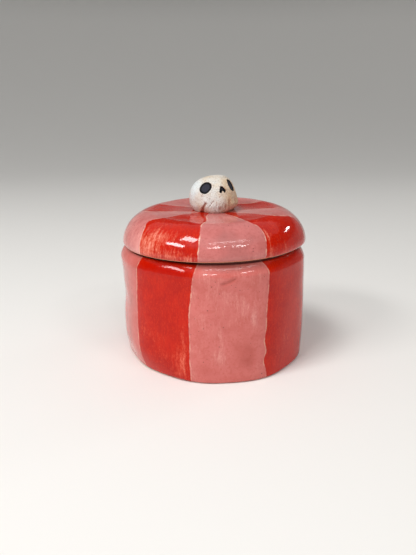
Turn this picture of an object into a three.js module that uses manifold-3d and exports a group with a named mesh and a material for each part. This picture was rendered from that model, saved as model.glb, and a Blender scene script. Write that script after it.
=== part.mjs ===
// A small hand-built ceramic jar with a domed lid and a skull for its knob.
// Millimetres, +Z up. The origin is the centre of the foot, on the table, and -Y is the front.
// Azimuths are in degrees, from the front towards +X.
import * as THREE from "three";
import { mergeVertices } from "three/addons/utils/BufferGeometryUtils.js";
import Module from "manifold-3d";

const wasm = await Module();
wasm.setup();

// Jar
const JAR_RADIUS = 45.5; // mean outer radius of the wall
const JAR_HEIGHT = 57.3; // table to the top of the rim
const WALL_THICKNESS = 5.7;
const RIM_ROUNDING = 3.2; // outer edge of the rim, as wide as this
const RIM_HEIGHT = 5; // and as high as this
const RIM_POWER = 1.85; // exponent of the rim's super-ellipse
const INNER_ROUNDING = 1.4; // inner edge of the rim
const FOOT_ROUNDING = 1.2; // outer edge of the foot
const FOOT_RECESS = 0.6; // the floor's underside above the table
const FLOOR_THICKNESS = 5.2;
const FLOOR_EDGE = 0.8; // bevel round the floor
const COIL_SIZE = 3.4; // the coil pressed into the inside corner
const JOINT_GAP = 0.3; // between pieces of clay that were joined wet

// Hand-made shape
const STRIPE_EDGES = [-50, -11, 32, 77, 103, 137, 171, 205, 238, 270]; // azimuths of the flats' corners
const FLAT_DEPTH = 0.55; // how far a flat as wide as the mean one is beaten in
const OVAL = 0.9; // how far the rim and the lid are pulled out of round
const TUCK = 1.5; // the mean draw-in of the wall at the foot
const TUCK_HEIGHT = 13;
const TUCK_SIDE = -40; // azimuth where the foot is drawn in furthest
const TUCK_SPREAD = 62;
const WAIST = 0.5; // the slight pinch under the rim
const WAIST_HEIGHT = 43;
const WAIST_SPREAD = 7;
const SIDE_BULGE = 0.7; // how far the wall stands out on the left
const FLARE = 1; // and how much further the rim leans out there
const FLARE_AZIMUTH = -85;
const FLARE_SPREAD = 70;

// Lid
const LID_OVERHANG = 0.2; // the lid's radius over the jar's
const LID_GAP = 0.4; // the rim's top to the lid's underside
const LID_HEIGHT = 16.8; // underside to the top of the shoulder
const LID_EDGE_HEIGHT = 1.6; // underside to the widest ring
const LID_EDGE_WIDTH = 1.3; // draw-in of the edge below the widest ring
const LID_BULGE = 0.6; // how far the lid stands out on the right
const LID_BULGE_AZIMUTH = 100;
const LID_BULGE_SPREAD = 65;
const EDGE_LIFT = 0.45; // the edge stands this much higher on the right than on the left
const EDGE_LIFT_REACH = 7; // height over which the lift dies out
const SHOULDER_WIDTH = 15;
const SHOULDER_POWER = 1.75; // exponent of the shoulder's super-ellipse
const LID_LEAN = 1.8; // the shoulder's top is this much lower in front than behind
const LEAN_AZIMUTH = -12; // where it is lowest
const DISH_DEPTH = 1.4; // the flat round the knob below the shoulder
const SEAT_RADIUS = 13.6; // the flat round the knob
const LID_THICKNESS = 6.4; // at the middle
const HOLLOW_POWER = 3; // exponent of the hollow's super-ellipse
const FLANGE_DEPTH = 8; // lid's underside to the flange's lower edge
const FLANGE_THICKNESS = 4.2;
const FLANGE_ROUNDING = 1.1;
const MOUTH_CLEARANCE = 1.2; // all round, between flange and mouth
const LEDGE = 0.5; // the hollow's edge inside the flange

// Skull
const SKULL_RADIUS = 12; // at the widest ring
const CROWN_HEIGHT = 12.3; // widest ring to the crown
const CHEEK_HEIGHT = 4.2; // foot to the widest ring
const SKULL_POWER = 2.25; // exponent of the crown's super-ellipse
const CROWN_LEAN = 1.9; // the crown leans this far towards +X
const FOOT_DRAW = 0.14; // share of the radius drawn in at the skull's foot
const FACE_AZIMUTH = 18; // the skull looks this way
const FACE_FLATTENING = 0.09; // share of the radius taken off the brow
const RIGHT_FLATTENING = 0.27; // and off the side of the head towards +X
const LEFT_BULGE = 0.19; // share of the radius added on the other side
const JAW_AZIMUTH = 2; // the upper jaw stands out here
const JAW_SPREAD = 42;
const JAW_REACH = 0.06;
const NOTCH_AZIMUTH = -28; // the notch between the cheek and the upper jaw
const NOTCH_HEIGHT = 5;
const NOTCH_WIDTH = 3.6; // at the foot
const NOTCH_DEPTH = 2.2;
const EYE_WIDTH = 6.1;
const EYE_HEIGHT = 6;
const SOCKET_DEPTH = 1.6; // of eyes and nose
const LEFT_EYE = { azimuth: -29.5, level: 0.37 };
const RIGHT_EYE = { azimuth: 62.5, level: 0.41 };
const NOSE = { azimuth: FACE_AZIMUTH, level: 0.34 };
const NOSE_WIDTH = 3.9;
const NOSE_HEIGHT = 3.8;
const NOSE_LEG = 1.8;
const GLAZE_THICKNESS = 0.8; // the black pools

// How finely curves are cut
const ROUND_SEGMENTS = 72;
const EDGE_STEPS = 3;
const RIM_STEPS = 4;
const WALL_STEPS = 6;
const SHOULDER_STEPS = 8;
const SKULL_SEGMENTS = 48;
const CHEEK_STEPS = 5;
const CROWN_STEPS = 14;
const POOL_SEGMENTS = 24;

// Sizes that follow from the ones above
const MOUTH_RADIUS = JAR_RADIUS - WALL_THICKNESS;
const FLOOR_TOP = FOOT_RECESS + FLOOR_THICKNESS;
const LID_RADIUS = JAR_RADIUS + LID_OVERHANG;
const LID_BASE = JAR_HEIGHT + LID_GAP;
const LID_TOP = LID_BASE + LID_HEIGHT;
const LID_WIDEST = LID_BASE + LID_EDGE_HEIGHT;
const RIM_LAND = JAR_RADIUS - RIM_ROUNDING; // the rim is flat out to here
const SEAT_HEIGHT = LID_TOP - DISH_DEPTH;
const FLANGE_RADIUS = MOUTH_RADIUS - MOUTH_CLEARANCE;
const HOLLOW_RADIUS = FLANGE_RADIUS - FLANGE_THICKNESS - LEDGE;
const HOLLOW_HEIGHT = SEAT_HEIGHT - LID_THICKNESS - LID_BASE;
const SKULL_FOOT = SEAT_HEIGHT + JOINT_GAP;
const SKULL_MIDDLE = SKULL_FOOT + CHEEK_HEIGHT;
const MEAN_STRIPE = 360 / STRIPE_EDGES.length;

const COLOURS = { glaze: 0xd0564c, clay: 0xd9cbb4, skull: 0xe2d8c6, black: 0x24252b };

const radians = THREE.MathUtils.degToRad;
const degrees = THREE.MathUtils.radToDeg;

// Azimuth of a point, in degrees from the front towards +X.
function azimuthOf(x, y) {
  return degrees(Math.atan2(x, -y));
}

// 1 at the azimuth named, falling smoothly to 0 at spread degrees from it.
function bump(azimuth, at, spread) {
  const away = Math.abs(((((azimuth - at) % 360) + 540) % 360) - 180);
  return away >= spread ? 0 : 0.5 + 0.5 * Math.cos((Math.PI * away) / spread);
}

// How far the hand-beaten flats lie below the round, at an azimuth: nothing at the corners.
function flatSag(azimuth) {
  const from = STRIPE_EDGES[0];
  const turned = from + ((((azimuth - from) % 360) + 360) % 360);
  const ends = [...STRIPE_EDGES.slice(1), from + 360];
  const i = ends.findIndex((end) => turned <= end);
  const width = ends[i] - STRIPE_EDGES[i];
  const along = (turned - STRIPE_EDGES[i]) / width;
  return FLAT_DEPTH * (width / MEAN_STRIPE) ** 2 * Math.sin(Math.PI * along) ** 2;
}

// The pull that makes rim and lid oval, longest from front left to back right.
function oval(azimuth) {
  return -OVAL * Math.sin(2 * radians(azimuth));
}

// How far the outside of the wall stands off the mean radius.
function wallOffset(azimuth, z) {
  const low = Math.max(0, 1 - z / TUCK_HEIGHT);
  const tuck = TUCK * (0.2 + 1.5 * bump(azimuth, TUCK_SIDE, TUCK_SPREAD)) * low ** 2;
  const waist = WAIST * Math.exp(-(((z - WAIST_HEIGHT) / WAIST_SPREAD) ** 2));
  const high = z / JAR_HEIGHT;
  const side = bump(azimuth, FLARE_AZIMUTH, FLARE_SPREAD) * (SIDE_BULGE * (1 - low) + FLARE * high ** 3);
  return oval(azimuth) * high + side - flatSag(azimuth) - tuck - waist;
}

// How far the outside of the lid stands off its mean radius.
function lidOffset(azimuth) {
  const bulge = LID_BULGE * bump(azimuth, LID_BULGE_AZIMUTH, LID_BULGE_SPREAD);
  return oval(azimuth) + bulge - 0.3 * flatSag(azimuth);
}

// A solid of revolution about Z: profile holds [radius, height] pairs, closed or from axis to axis.
function turned(profile, segments) {
  const points = profile.map(([r, z]) => new THREE.Vector2(Math.max(r, 0), z));
  return new THREE.LatheGeometry(points, segments).rotateX(Math.PI / 2);
}

// Moves each vertex to the radius and height that shape gives for its azimuth, radius and height.
function shaped(geometry, shape) {
  const position = geometry.getAttribute("position");
  for (let i = 0; i < position.count; i++) {
    const [x, y, z] = [position.getX(i), position.getY(i), position.getZ(i)];
    const r = Math.hypot(x, y);
    if (r < 1e-6) continue;
    const [newRadius, newHeight] = shape(azimuthOf(x, y), r, z);
    position.setXYZ(i, (x / r) * newRadius, (y / r) * newRadius, newHeight);
  }
  return geometry;
}

// Points of a quarter of an ellipse round (r, z), from one angle to another, both ends included.
function arc(r, z, width, height, from, to, steps = EDGE_STEPS, power = 2) {
  return Array.from({ length: steps + 1 }, (_, i) => {
    const t = radians(from + ((to - from) * i) / steps);
    const along = Math.sign(Math.cos(t)) * Math.abs(Math.cos(t)) ** (2 / power);
    const up = Math.sign(Math.sin(t)) * Math.abs(Math.sin(t)) ** (2 / power);
    return [r + width * along, z + height * up];
  });
}

// A manifold solid from a three.js geometry.
function solid(geometry) {
  const bare = geometry.index ? geometry.toNonIndexed() : geometry.clone();
  for (const name of Object.keys(bare.attributes)) {
    if (name !== "position") bare.deleteAttribute(name);
  }
  const merged = mergeVertices(bare, 1e-4);
  return new wasm.Manifold(
    new wasm.Mesh({
      numProp: 3,
      vertProperties: new Float32Array(merged.getAttribute("position").array),
      triVerts: new Uint32Array(merged.index.array),
    }),
  );
}

// A three.js geometry from a manifold solid.
function geometryOf(manifold) {
  const mesh = manifold.getMesh();
  const geometry = new THREE.BufferGeometry();
  geometry.setAttribute("position", new THREE.BufferAttribute(mesh.vertProperties, 3));
  geometry.setIndex(new THREE.BufferAttribute(mesh.triVerts, 1));
  geometry.computeVertexNormals();
  return geometry;
}

function named(name, geometry, color, roughness) {
  const mesh = new THREE.Mesh(geometry, new THREE.MeshStandardMaterial({ color, roughness }));
  mesh.name = name;
  return mesh;
}

// The wall: a slab wrapped round, standing on its own lower edge, with beaten flats outside.
function jarWall() {
  const top = JAR_HEIGHT - RIM_HEIGHT;
  const outside = Array.from({ length: WALL_STEPS - 1 }, (_, i) => [
    JAR_RADIUS,
    FOOT_ROUNDING + ((top - FOOT_ROUNDING) * (i + 1)) / WALL_STEPS,
  ]);
  const profile = [
    [MOUTH_RADIUS, 0],
    ...arc(JAR_RADIUS - FOOT_ROUNDING, FOOT_ROUNDING, FOOT_ROUNDING, FOOT_ROUNDING, -90, 0),
    ...outside,
    ...arc(RIM_LAND, top, RIM_ROUNDING, RIM_HEIGHT, 0, 90, RIM_STEPS, RIM_POWER),
    ...arc(
      MOUTH_RADIUS + INNER_ROUNDING,
      JAR_HEIGHT - INNER_ROUNDING,
      INNER_ROUNDING,
      INNER_ROUNDING,
      90,
      180,
    ),
    [MOUTH_RADIUS, FLOOR_TOP],
    [MOUTH_RADIUS, 0],
  ];
  // The inside stays round, so that the flange can turn in it, and the land between moves in part.
  const inner = MOUTH_RADIUS + INNER_ROUNDING;
  const geometry = shaped(turned(profile, ROUND_SEGMENTS), (azimuth, r, z) => {
    const share = THREE.MathUtils.clamp((r - inner) / (RIM_LAND - inner), 0, 1);
    return [r + share * wallOffset(azimuth, z), z];
  });
  return named("jar_wall", geometry, COLOURS.glaze, 0.12);
}

// The floor: a disc set inside the foot of the wall, a little above the table.
function jarFloor() {
  const radius = MOUTH_RADIUS - JOINT_GAP;
  const profile = [
    [0, FOOT_RECESS],
    [radius - FLOOR_EDGE, FOOT_RECESS],
    [radius, FOOT_RECESS + FLOOR_EDGE],
    [radius, FLOOR_TOP],
    [0, FLOOR_TOP],
  ];
  return named("jar_floor", turned(profile, ROUND_SEGMENTS), COLOURS.clay, 0.3);
}

// The coil pressed into the corner of floor and wall, smoothed to a hollow fillet.
function seamCoil() {
  const outer = MOUTH_RADIUS - JOINT_GAP;
  const base = FLOOR_TOP + JOINT_GAP;
  const lip = 0.6; // the fillet's blunt edges
  const hollow = arc(outer - COIL_SIZE, base + COIL_SIZE, COIL_SIZE - lip, COIL_SIZE - lip, 0, -90);
  const profile = [
    [outer, base],
    [outer, base + COIL_SIZE],
    ...hollow,
    [outer - COIL_SIZE, base],
    [outer, base],
  ];
  return named("seam_coil", turned(profile, ROUND_SEGMENTS), COLOURS.clay, 0.3);
}

// From the round to the hand-made cap. The hollow and the land on the rim stay true.
function capShape(azimuth, r, z) {
  if (r <= RIM_LAND && z < LID_BASE + HOLLOW_HEIGHT + 1) return [r, z];
  const outwards = THREE.MathUtils.smoothstep(r, SEAT_RADIUS, LID_RADIUS);
  const low = 1 - THREE.MathUtils.smoothstep(z, LID_WIDEST, LID_WIDEST + EDGE_LIFT_REACH);
  const lift = 0.5 * EDGE_LIFT * (1 + Math.sin(radians(azimuth))) * low;
  const shoulder = bump(r, LID_RADIUS - SHOULDER_WIDTH, SHOULDER_WIDTH);
  const lean = 0.5 * LID_LEAN * (1 + Math.cos(radians(azimuth - LEAN_AZIMUTH))) * shoulder;
  return [r + outwards * lidOffset(azimuth), z + outwards * lift - lean * (1 - low)];
}

// The cap: a thick dome with a drawn-in lower edge, a dished top and a hollow below.
function lidCap() {
  const flatTop = LID_RADIUS - SHOULDER_WIDTH;
  const width = HOLLOW_RADIUS;
  const hollow = arc(0, LID_BASE, width, HOLLOW_HEIGHT, 90, 0, SHOULDER_STEPS, HOLLOW_POWER);
  const rise = LID_TOP - LID_WIDEST;
  const profile = [
    ...hollow,
    [RIM_LAND, LID_BASE],
    ...arc(LID_RADIUS - LID_EDGE_WIDTH, LID_WIDEST, LID_EDGE_WIDTH, LID_EDGE_HEIGHT, -90, 0),
    ...arc(flatTop, LID_WIDEST, SHOULDER_WIDTH, rise, 0, 90, SHOULDER_STEPS, SHOULDER_POWER).slice(1),
    [(flatTop + SEAT_RADIUS) / 2, LID_TOP - DISH_DEPTH / 2],
    [SEAT_RADIUS, SEAT_HEIGHT],
    [0, SEAT_HEIGHT],
  ];
  return named("lid_cap", shaped(turned(profile, ROUND_SEGMENTS), capShape), COLOURS.glaze, 0.12);
}

// The flange: a strip bent to a plain ring under the cap, which keeps the lid in the mouth.
function lidFlange() {
  const top = LID_BASE - JOINT_GAP;
  const bottom = LID_BASE - FLANGE_DEPTH;
  const inside = FLANGE_RADIUS - FLANGE_THICKNESS;
  const round = FLANGE_ROUNDING;
  const profile = [
    [inside, top],
    ...arc(inside + round, bottom + round, round, round, 180, 270),
    ...arc(FLANGE_RADIUS - round, bottom + round, round, round, -90, 0),
    [FLANGE_RADIUS, top],
    [inside, top],
  ];
  return named("lid_flange", turned(profile, ROUND_SEGMENTS), COLOURS.clay, 0.3);
}

// How much the head is pressed in or bulges, at an azimuth and a rise towards the crown or a drop.
function headFactor(azimuth, rise, drop) {
  const face = FACE_FLATTENING * bump(azimuth, FACE_AZIMUTH + 20, 75);
  const right = RIGHT_FLATTENING * bump(azimuth, 85, 75);
  const left = LEFT_BULGE * bump(azimuth, -88, 80);
  return 1 + (left - face) * rise - right * (0.12 + 0.88 * rise ** 0.8) * (1 - drop);
}

// A point of the skull: level runs from -1 at its foot by 0 at the widest ring to 1 at the crown.
function skullPoint(azimuth, level) {
  const angle = (Math.PI / 2) * Math.max(level, 0);
  const rise = Math.sin(angle) ** (2 / SKULL_POWER);
  const drop = Math.max(-level, 0);
  const round = Math.cos(angle) ** (2 / SKULL_POWER) - FOOT_DRAW * drop ** 2;
  const jaw = JAW_REACH * bump(azimuth, JAW_AZIMUTH, JAW_SPREAD) * drop;
  const radius = SKULL_RADIUS * (round * headFactor(azimuth, rise, drop) + jaw);
  const a = radians(azimuth);
  return new THREE.Vector3(
    radius * Math.sin(a) + CROWN_LEAN * rise ** 1.5,
    -radius * Math.cos(a),
    SKULL_MIDDLE + CROWN_HEIGHT * rise - CHEEK_HEIGHT * drop,
  );
}

// The frame on the skull's surface, with X sideways, Y up and Z outward.
function skullFrame({ azimuth, level }) {
  const step = 0.01;
  const at = skullPoint(azimuth, level);
  const side = skullPoint(azimuth + 1, level).sub(at).normalize();
  const along = skullPoint(azimuth, level + step).sub(at).normalize();
  const out = new THREE.Vector3().crossVectors(side, along).normalize();
  const up = new THREE.Vector3().crossVectors(out, side);
  return new THREE.Matrix4().makeBasis(side, up, out).setPosition(at);
}

// The head before anything is cut from it: flat below, closed at the crown.
function head() {
  const levels = [
    ...Array.from({ length: CHEEK_STEPS }, (_, i) => -1 + i / CHEEK_STEPS),
    ...Array.from({ length: CROWN_STEPS }, (_, i) => i / CROWN_STEPS),
  ];
  const rows = [[0, SKULL_FOOT], ...levels.map((level) => [1, level]), [0, 1]];
  const geometry = turned(rows, SKULL_SEGMENTS);
  const position = geometry.getAttribute("position");
  for (let i = 0; i < position.count; i++) {
    const [x, y, level] = [position.getX(i), position.getY(i), position.getZ(i)];
    const onAxis = Math.hypot(x, y) < 1e-6;
    if (onAxis && level > 1) continue;
    const point = skullPoint(onAxis ? 0 : azimuthOf(x, y), level);
    position.setXYZ(i, point.x, point.y, point.z);
  }
  return solid(geometry);
}

// A solid given in the frame of a place on the skull.
function setIn(geometry, place) {
  return solid(geometry.applyMatrix4(skullFrame(place)));
}

// An eye socket, an oval well; with an inset, the glaze that lies in it.
function eyeIn(place, inset, from, to) {
  const well = new THREE.CylinderGeometry(1, 1, to - from, POOL_SEGMENTS).rotateX(Math.PI / 2);
  well.scale(EYE_WIDTH / 2 - inset, EYE_HEIGHT / 2 - inset, 1);
  return setIn(well.translate(0, 0, (from + to) / 2), place);
}

// The nose, an upturned V pressed into the face; with an inset, the glaze that lies in it.
function noseIn(inset, from, to) {
  const half = NOSE_WIDTH / 2 - inset;
  const top = NOSE_HEIGHT / 2 - inset;
  const leg = NOSE_LEG - 2 * inset;
  const outline = new THREE.Shape([
    new THREE.Vector2(-half, -top),
    new THREE.Vector2(leg - half, -top),
    new THREE.Vector2(0, 1.5 * inset),
    new THREE.Vector2(half - leg, -top),
    new THREE.Vector2(half, -top),
    new THREE.Vector2(leg / 2, top),
    new THREE.Vector2(-leg / 2, top),
  ]);
  const settings = { depth: to - from, bevelEnabled: false };
  return setIn(new THREE.ExtrudeGeometry(outline, settings).translate(0, 0, from), NOSE);
}

// The notch between the left cheek and the upper jaw: narrow above, wide at the foot.
function notch() {
  const half = NOTCH_WIDTH / 2;
  const outline = new THREE.Shape([
    new THREE.Vector2(-half, -NOTCH_HEIGHT),
    new THREE.Vector2(half, -NOTCH_HEIGHT),
    new THREE.Vector2(half, NOTCH_HEIGHT / 2),
    new THREE.Vector2(half - 0.8, NOTCH_HEIGHT / 2),
    new THREE.Vector2(-half, -NOTCH_HEIGHT / 2),
  ]);
  const settings = { depth: 2 * NOTCH_DEPTH, bevelEnabled: false };
  const wedge = new THREE.ExtrudeGeometry(outline, settings).translate(0, 0, -NOTCH_DEPTH);
  return setIn(wedge, { azimuth: NOTCH_AZIMUTH, level: -0.5 });
}

// The skull, with its sockets, its nose and the notch beside its jaw cut out.
function skullKnob() {
  const body = head()
    .subtract(eyeIn(LEFT_EYE, 0, -SOCKET_DEPTH, SOCKET_DEPTH))
    .subtract(eyeIn(RIGHT_EYE, 0, -SOCKET_DEPTH, SOCKET_DEPTH))
    .subtract(noseIn(0, -SOCKET_DEPTH, SOCKET_DEPTH))
    .subtract(notch());
  return named("skull_knob", geometryOf(body), COLOURS.skull, 0.6);
}

// The black glaze lying in one socket, cut by the function that cuts the socket.
function glazePool(name, cut) {
  const low = JOINT_GAP - SOCKET_DEPTH;
  return named(name, geometryOf(cut(JOINT_GAP, low, low + GLAZE_THICKNESS)), COLOURS.black, 0.2);
}

const jar = new THREE.Group();
jar.add(jarWall(), jarFloor(), seamCoil());

const lid = new THREE.Group();
lid.add(
  lidCap(),
  lidFlange(),
  skullKnob(),
  glazePool("left_eye_glaze", (...cut) => eyeIn(LEFT_EYE, ...cut)),
  glazePool("right_eye_glaze", (...cut) => eyeIn(RIGHT_EYE, ...cut)),
  glazePool("nose_glaze", noseIn),
);

const lidded = new THREE.Group();
lidded.add(jar, lid);

export default lidded;
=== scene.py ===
"""Looks of a small hand-built ceramic jar with a domed lid and a skull for its knob.

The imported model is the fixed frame, with the origin under the middle of the foot and the front
towards -Y. Shapes are worked out in millimetres and made into meshes in metres. An azimuth is in
degrees, from the front towards +X.
"""
import logging
import math
from dataclasses import dataclass, field
from enum import Enum

import bmesh
import bpy
import numpy as np
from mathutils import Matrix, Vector


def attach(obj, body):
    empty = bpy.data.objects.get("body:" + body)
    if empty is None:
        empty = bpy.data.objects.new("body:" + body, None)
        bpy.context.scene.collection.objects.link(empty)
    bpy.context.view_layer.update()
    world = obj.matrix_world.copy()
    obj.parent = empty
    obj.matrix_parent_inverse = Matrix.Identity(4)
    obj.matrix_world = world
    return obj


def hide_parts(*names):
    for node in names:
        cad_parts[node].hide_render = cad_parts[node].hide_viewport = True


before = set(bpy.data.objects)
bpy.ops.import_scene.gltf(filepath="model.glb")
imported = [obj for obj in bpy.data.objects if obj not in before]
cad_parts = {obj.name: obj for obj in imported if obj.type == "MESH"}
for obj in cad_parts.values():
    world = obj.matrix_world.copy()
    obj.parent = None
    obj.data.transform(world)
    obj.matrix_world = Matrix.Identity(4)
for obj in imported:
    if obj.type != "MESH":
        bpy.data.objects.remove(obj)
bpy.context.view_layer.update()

log = logging.getLogger("lidded_jar")

MM = 0.001
PRESS_WANDER = 1.0 / 90.0
Array = np.ndarray
Colour = tuple[int, int, int]
Point = tuple[float, float]
Outline = tuple[Point, ...]


class Body(Enum):
    """The bodies of the frame that a piece can ride on."""

    JAR = "jar"
    RING = "lid_ring"
    LID = "lid"


class Slot(Enum):
    """The record's material slots."""

    STRIPED = "striped_glaze"
    CLEAR = "glazed_clay"
    BARE = "bare_clay"
    BLACK = "black_glaze"


class Ends(Enum):
    """How the first and last ring of a turned surface end."""

    LOOP = "each on the other"
    POLES = "each on a pole of its own"
    OPEN = "open"


# ---------------------------------------------------------------- sums


def smoothstep(value: Array, low: float, high: float) -> Array:
    """Rise smoothly from 0 at low to 1 at high."""
    t = np.clip((value - low) / (high - low), 0.0, 1.0)
    return t * t * (3.0 - 2.0 * t)


def signed(azimuth: Array) -> Array:
    """Turn azimuths to the same ones between -180 and 180."""
    return (azimuth + 180.0) % 360.0 - 180.0


def bump(azimuth: Array, at: float, spread: float) -> Array:
    """Be 1 at one azimuth and fall smoothly to 0 at spread degrees from it."""
    away = np.abs(signed(azimuth - at))
    return np.where(away >= spread, 0.0, 0.5 + 0.5 * np.cos(np.pi * away / spread))


def bell(away: Array, wide: float) -> Array:
    """Be 1 where away is 0 and die out beyond about twice this width."""
    return np.exp(-((away / wide) ** 2))


def through(value: Array, stations: Array, heights: Array) -> Array:
    """Draw a smooth curve through given points.

    Args:
        value: where the curve is wanted; outside the stations it stays level.
        stations: rising places of the points.
        heights: the curve's value at each station.

    Returns:
        The curve's values, a cubic between each two stations.
    """
    slopes = np.gradient(heights, stations)
    value = np.clip(value, stations[0], stations[-1])
    i = np.clip(np.searchsorted(stations, value) - 1, 0, len(stations) - 2)
    step = stations[i + 1] - stations[i]
    t = (value - stations[i]) / step
    start = (1 + 2 * t) * (1 - t) ** 2 * heights[i] + t * (1 - t) ** 2 * step * slopes[i]
    end = t * t * (3 - 2 * t) * heights[i + 1] + t * t * (t - 1) * step * slopes[i + 1]
    return start + end


def even(points: list[Point] | Outline, spacing: float = 1.0, steps: int = 0) -> Array:
    """Cut a broken line into even steps.

    Args:
        points: its corners.
        spacing: the longest step.
        steps: how many steps, where that is fixed.

    Returns:
        Points from the first corner to the last one, both included.
    """
    line = np.array(points, float)
    length = np.r_[0.0, np.cumsum(np.hypot(*np.diff(line, axis=0).T))]
    places = np.linspace(0.0, length[-1], (steps or max(1, math.ceil(length[-1] / spacing))) + 1)
    return np.c_[np.interp(places, length, line[:, 0]), np.interp(places, length, line[:, 1])]


def arc(centre: Point, size: Point, start: float, end: float, power: float = 2.0) -> list[Point]:
    """Trace a quarter of a super-ellipse.

    Args:
        centre: its middle.
        size: its half width and half height.
        start: the first angle, in degrees.
        end: the last angle.
        power: the exponent, 2 for an ellipse.

    Returns:
        Close points from start to end.
    """
    t = np.radians(np.linspace(start, end, 61))
    across = np.sign(np.cos(t)) * np.abs(np.cos(t)) ** (2.0 / power)
    up = np.sign(np.sin(t)) * np.abs(np.sin(t)) ** (2.0 / power)
    return [(centre[0] + size[0] * a, centre[1] + size[1] * u) for a, u in zip(across, up)]


def segment_distance(u: Array, w: Array, start: Point, end: Point) -> Array:
    """Measure how far points are from a straight line.

    Args:
        u: the first measure of each point.
        w: the second measure of each point.
        start: one end of the line.
        end: its other end.

    Returns:
        The distance of each point.
    """
    du, dw = end[0] - start[0], end[1] - start[1]
    t = np.clip(((u - start[0]) * du + (w - start[1]) * dw) / (du * du + dw * dw), 0.0, 1.0)
    return np.hypot(u - start[0] - t * du, w - start[1] - t * dw)


def outline_distance(u: Array, w: Array, outline: Outline) -> Array:
    """Measure how far points are from a closed outline.

    Args:
        u: the first measure of each point.
        w: the second measure of each point.
        outline: the outline's corners.

    Returns:
        The distance of each point, below zero inside the outline.
    """
    nearest = np.full(np.shape(u), 1e9)
    inside = np.zeros(np.shape(u), bool)
    for (ax, ay), (bx, by) in zip(outline, outline[1:] + outline[:1]):
        nearest = np.minimum(nearest, segment_distance(u, w, (ax, ay), (bx, by)))
        crosses = (ay > w) != (by > w)
        where = ax + (w - ay) / (by - ay if by != ay else 1e-9) * (bx - ax)
        inside ^= crosses & (u < where)
    return np.where(inside, -nearest, nearest)


# ---------------------------------------------------------------- meshes


def stand(name: str, data: bpy.types.ID) -> bpy.types.Object:
    """Put a new object into the scene.

    Args:
        name: its name.
        data: its mesh, light or camera.

    Returns:
        The object, at the origin.
    """
    made = bpy.data.objects.new(name, data)
    bpy.context.scene.collection.objects.link(made)
    return made


def profile_loop(name: str, outline: list[Point]) -> bpy.types.Object:
    """Make a closed loop of edges for a tree to sweep.

    A swept profile hangs upside down from its path, so the loop is turned over here.

    Args:
        name: the object's name.
        outline: the corners, in millimetres outwards and up.

    Returns:
        The object.
    """
    mesh = bpy.data.meshes.new(name)
    mesh.from_pydata([(x * MM, -y * MM, 0.0) for x, y in reversed(outline)],
                     [(i, (i + 1) % len(outline)) for i in range(len(outline))], [])
    return stand(name, mesh)


@dataclass
class Turning:
    """A surface of rings about the Z axis, each ring a row of points at the same azimuths.

    Its marks are values for each point, one number or three, by the name of the attribute.
    """

    name: str
    rings: Array
    ends: Ends
    marks: dict[str, Array] = field(default_factory=dict)

    def faces(self, rows: int, columns: int) -> list[tuple[int, ...]]:
        """List the faces between the rings, and round the poles.

        Args:
            rows: how many rings there are.
            columns: how many points a ring has.

        Returns:
            The faces, as vertex numbers.
        """
        numbers = np.arange(rows * columns).reshape(rows, columns)
        if self.ends is Ends.LOOP:
            numbers = np.vstack([numbers, numbers[:1]])
        turned = np.roll(numbers, -1, axis=1)
        listed = np.stack([numbers[:-1], turned[:-1], turned[1:], numbers[1:]], -1).reshape(-1, 4).tolist()
        if self.ends is Ends.POLES:
            low, high = rows * columns, rows * columns + 1
            listed += [(low, b, a) for a, b in zip(numbers[0].tolist(), turned[0].tolist())]
            listed += [(high, a, b) for a, b in zip(numbers[-1].tolist(), turned[-1].tolist())]
        return listed

    def build(self) -> bpy.types.Object:
        """Make the mesh, smooth, closed and facing outwards, with its marks carried to the poles.

        Returns:
            The object.
        """
        rows, columns, _ = self.rings.shape
        points = self.rings.reshape(-1, 3)
        marks = {k: v.reshape(rows * columns, *v.shape[2:]) for k, v in self.marks.items()}
        if self.ends is Ends.POLES:
            points = np.vstack([points, self.rings[0].mean(0), self.rings[-1].mean(0)])
            marks = {k: np.concatenate([v, v[:1], v[-1:]]) for k, v in marks.items()}
        mesh = bpy.data.meshes.new(self.name)
        mesh.from_pydata((points * MM).tolist(), [], self.faces(rows, columns))
        shell = bmesh.new()
        shell.from_mesh(mesh)
        if shell.calc_volume(signed=True) < 0:
            bmesh.ops.reverse_faces(shell, faces=shell.faces)
            shell.to_mesh(mesh)
        shell.free()
        for mark, values in marks.items():
            plain = values.ndim == 1
            layer = mesh.attributes.new(mark, "FLOAT" if plain else "FLOAT_VECTOR", "POINT")
            layer.data.foreach_set("value" if plain else "vector", values.astype(np.float32).ravel())
        mesh.shade_smooth()
        return stand(self.name, mesh)


# ---------------------------------------------------------------- node recipes


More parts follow.
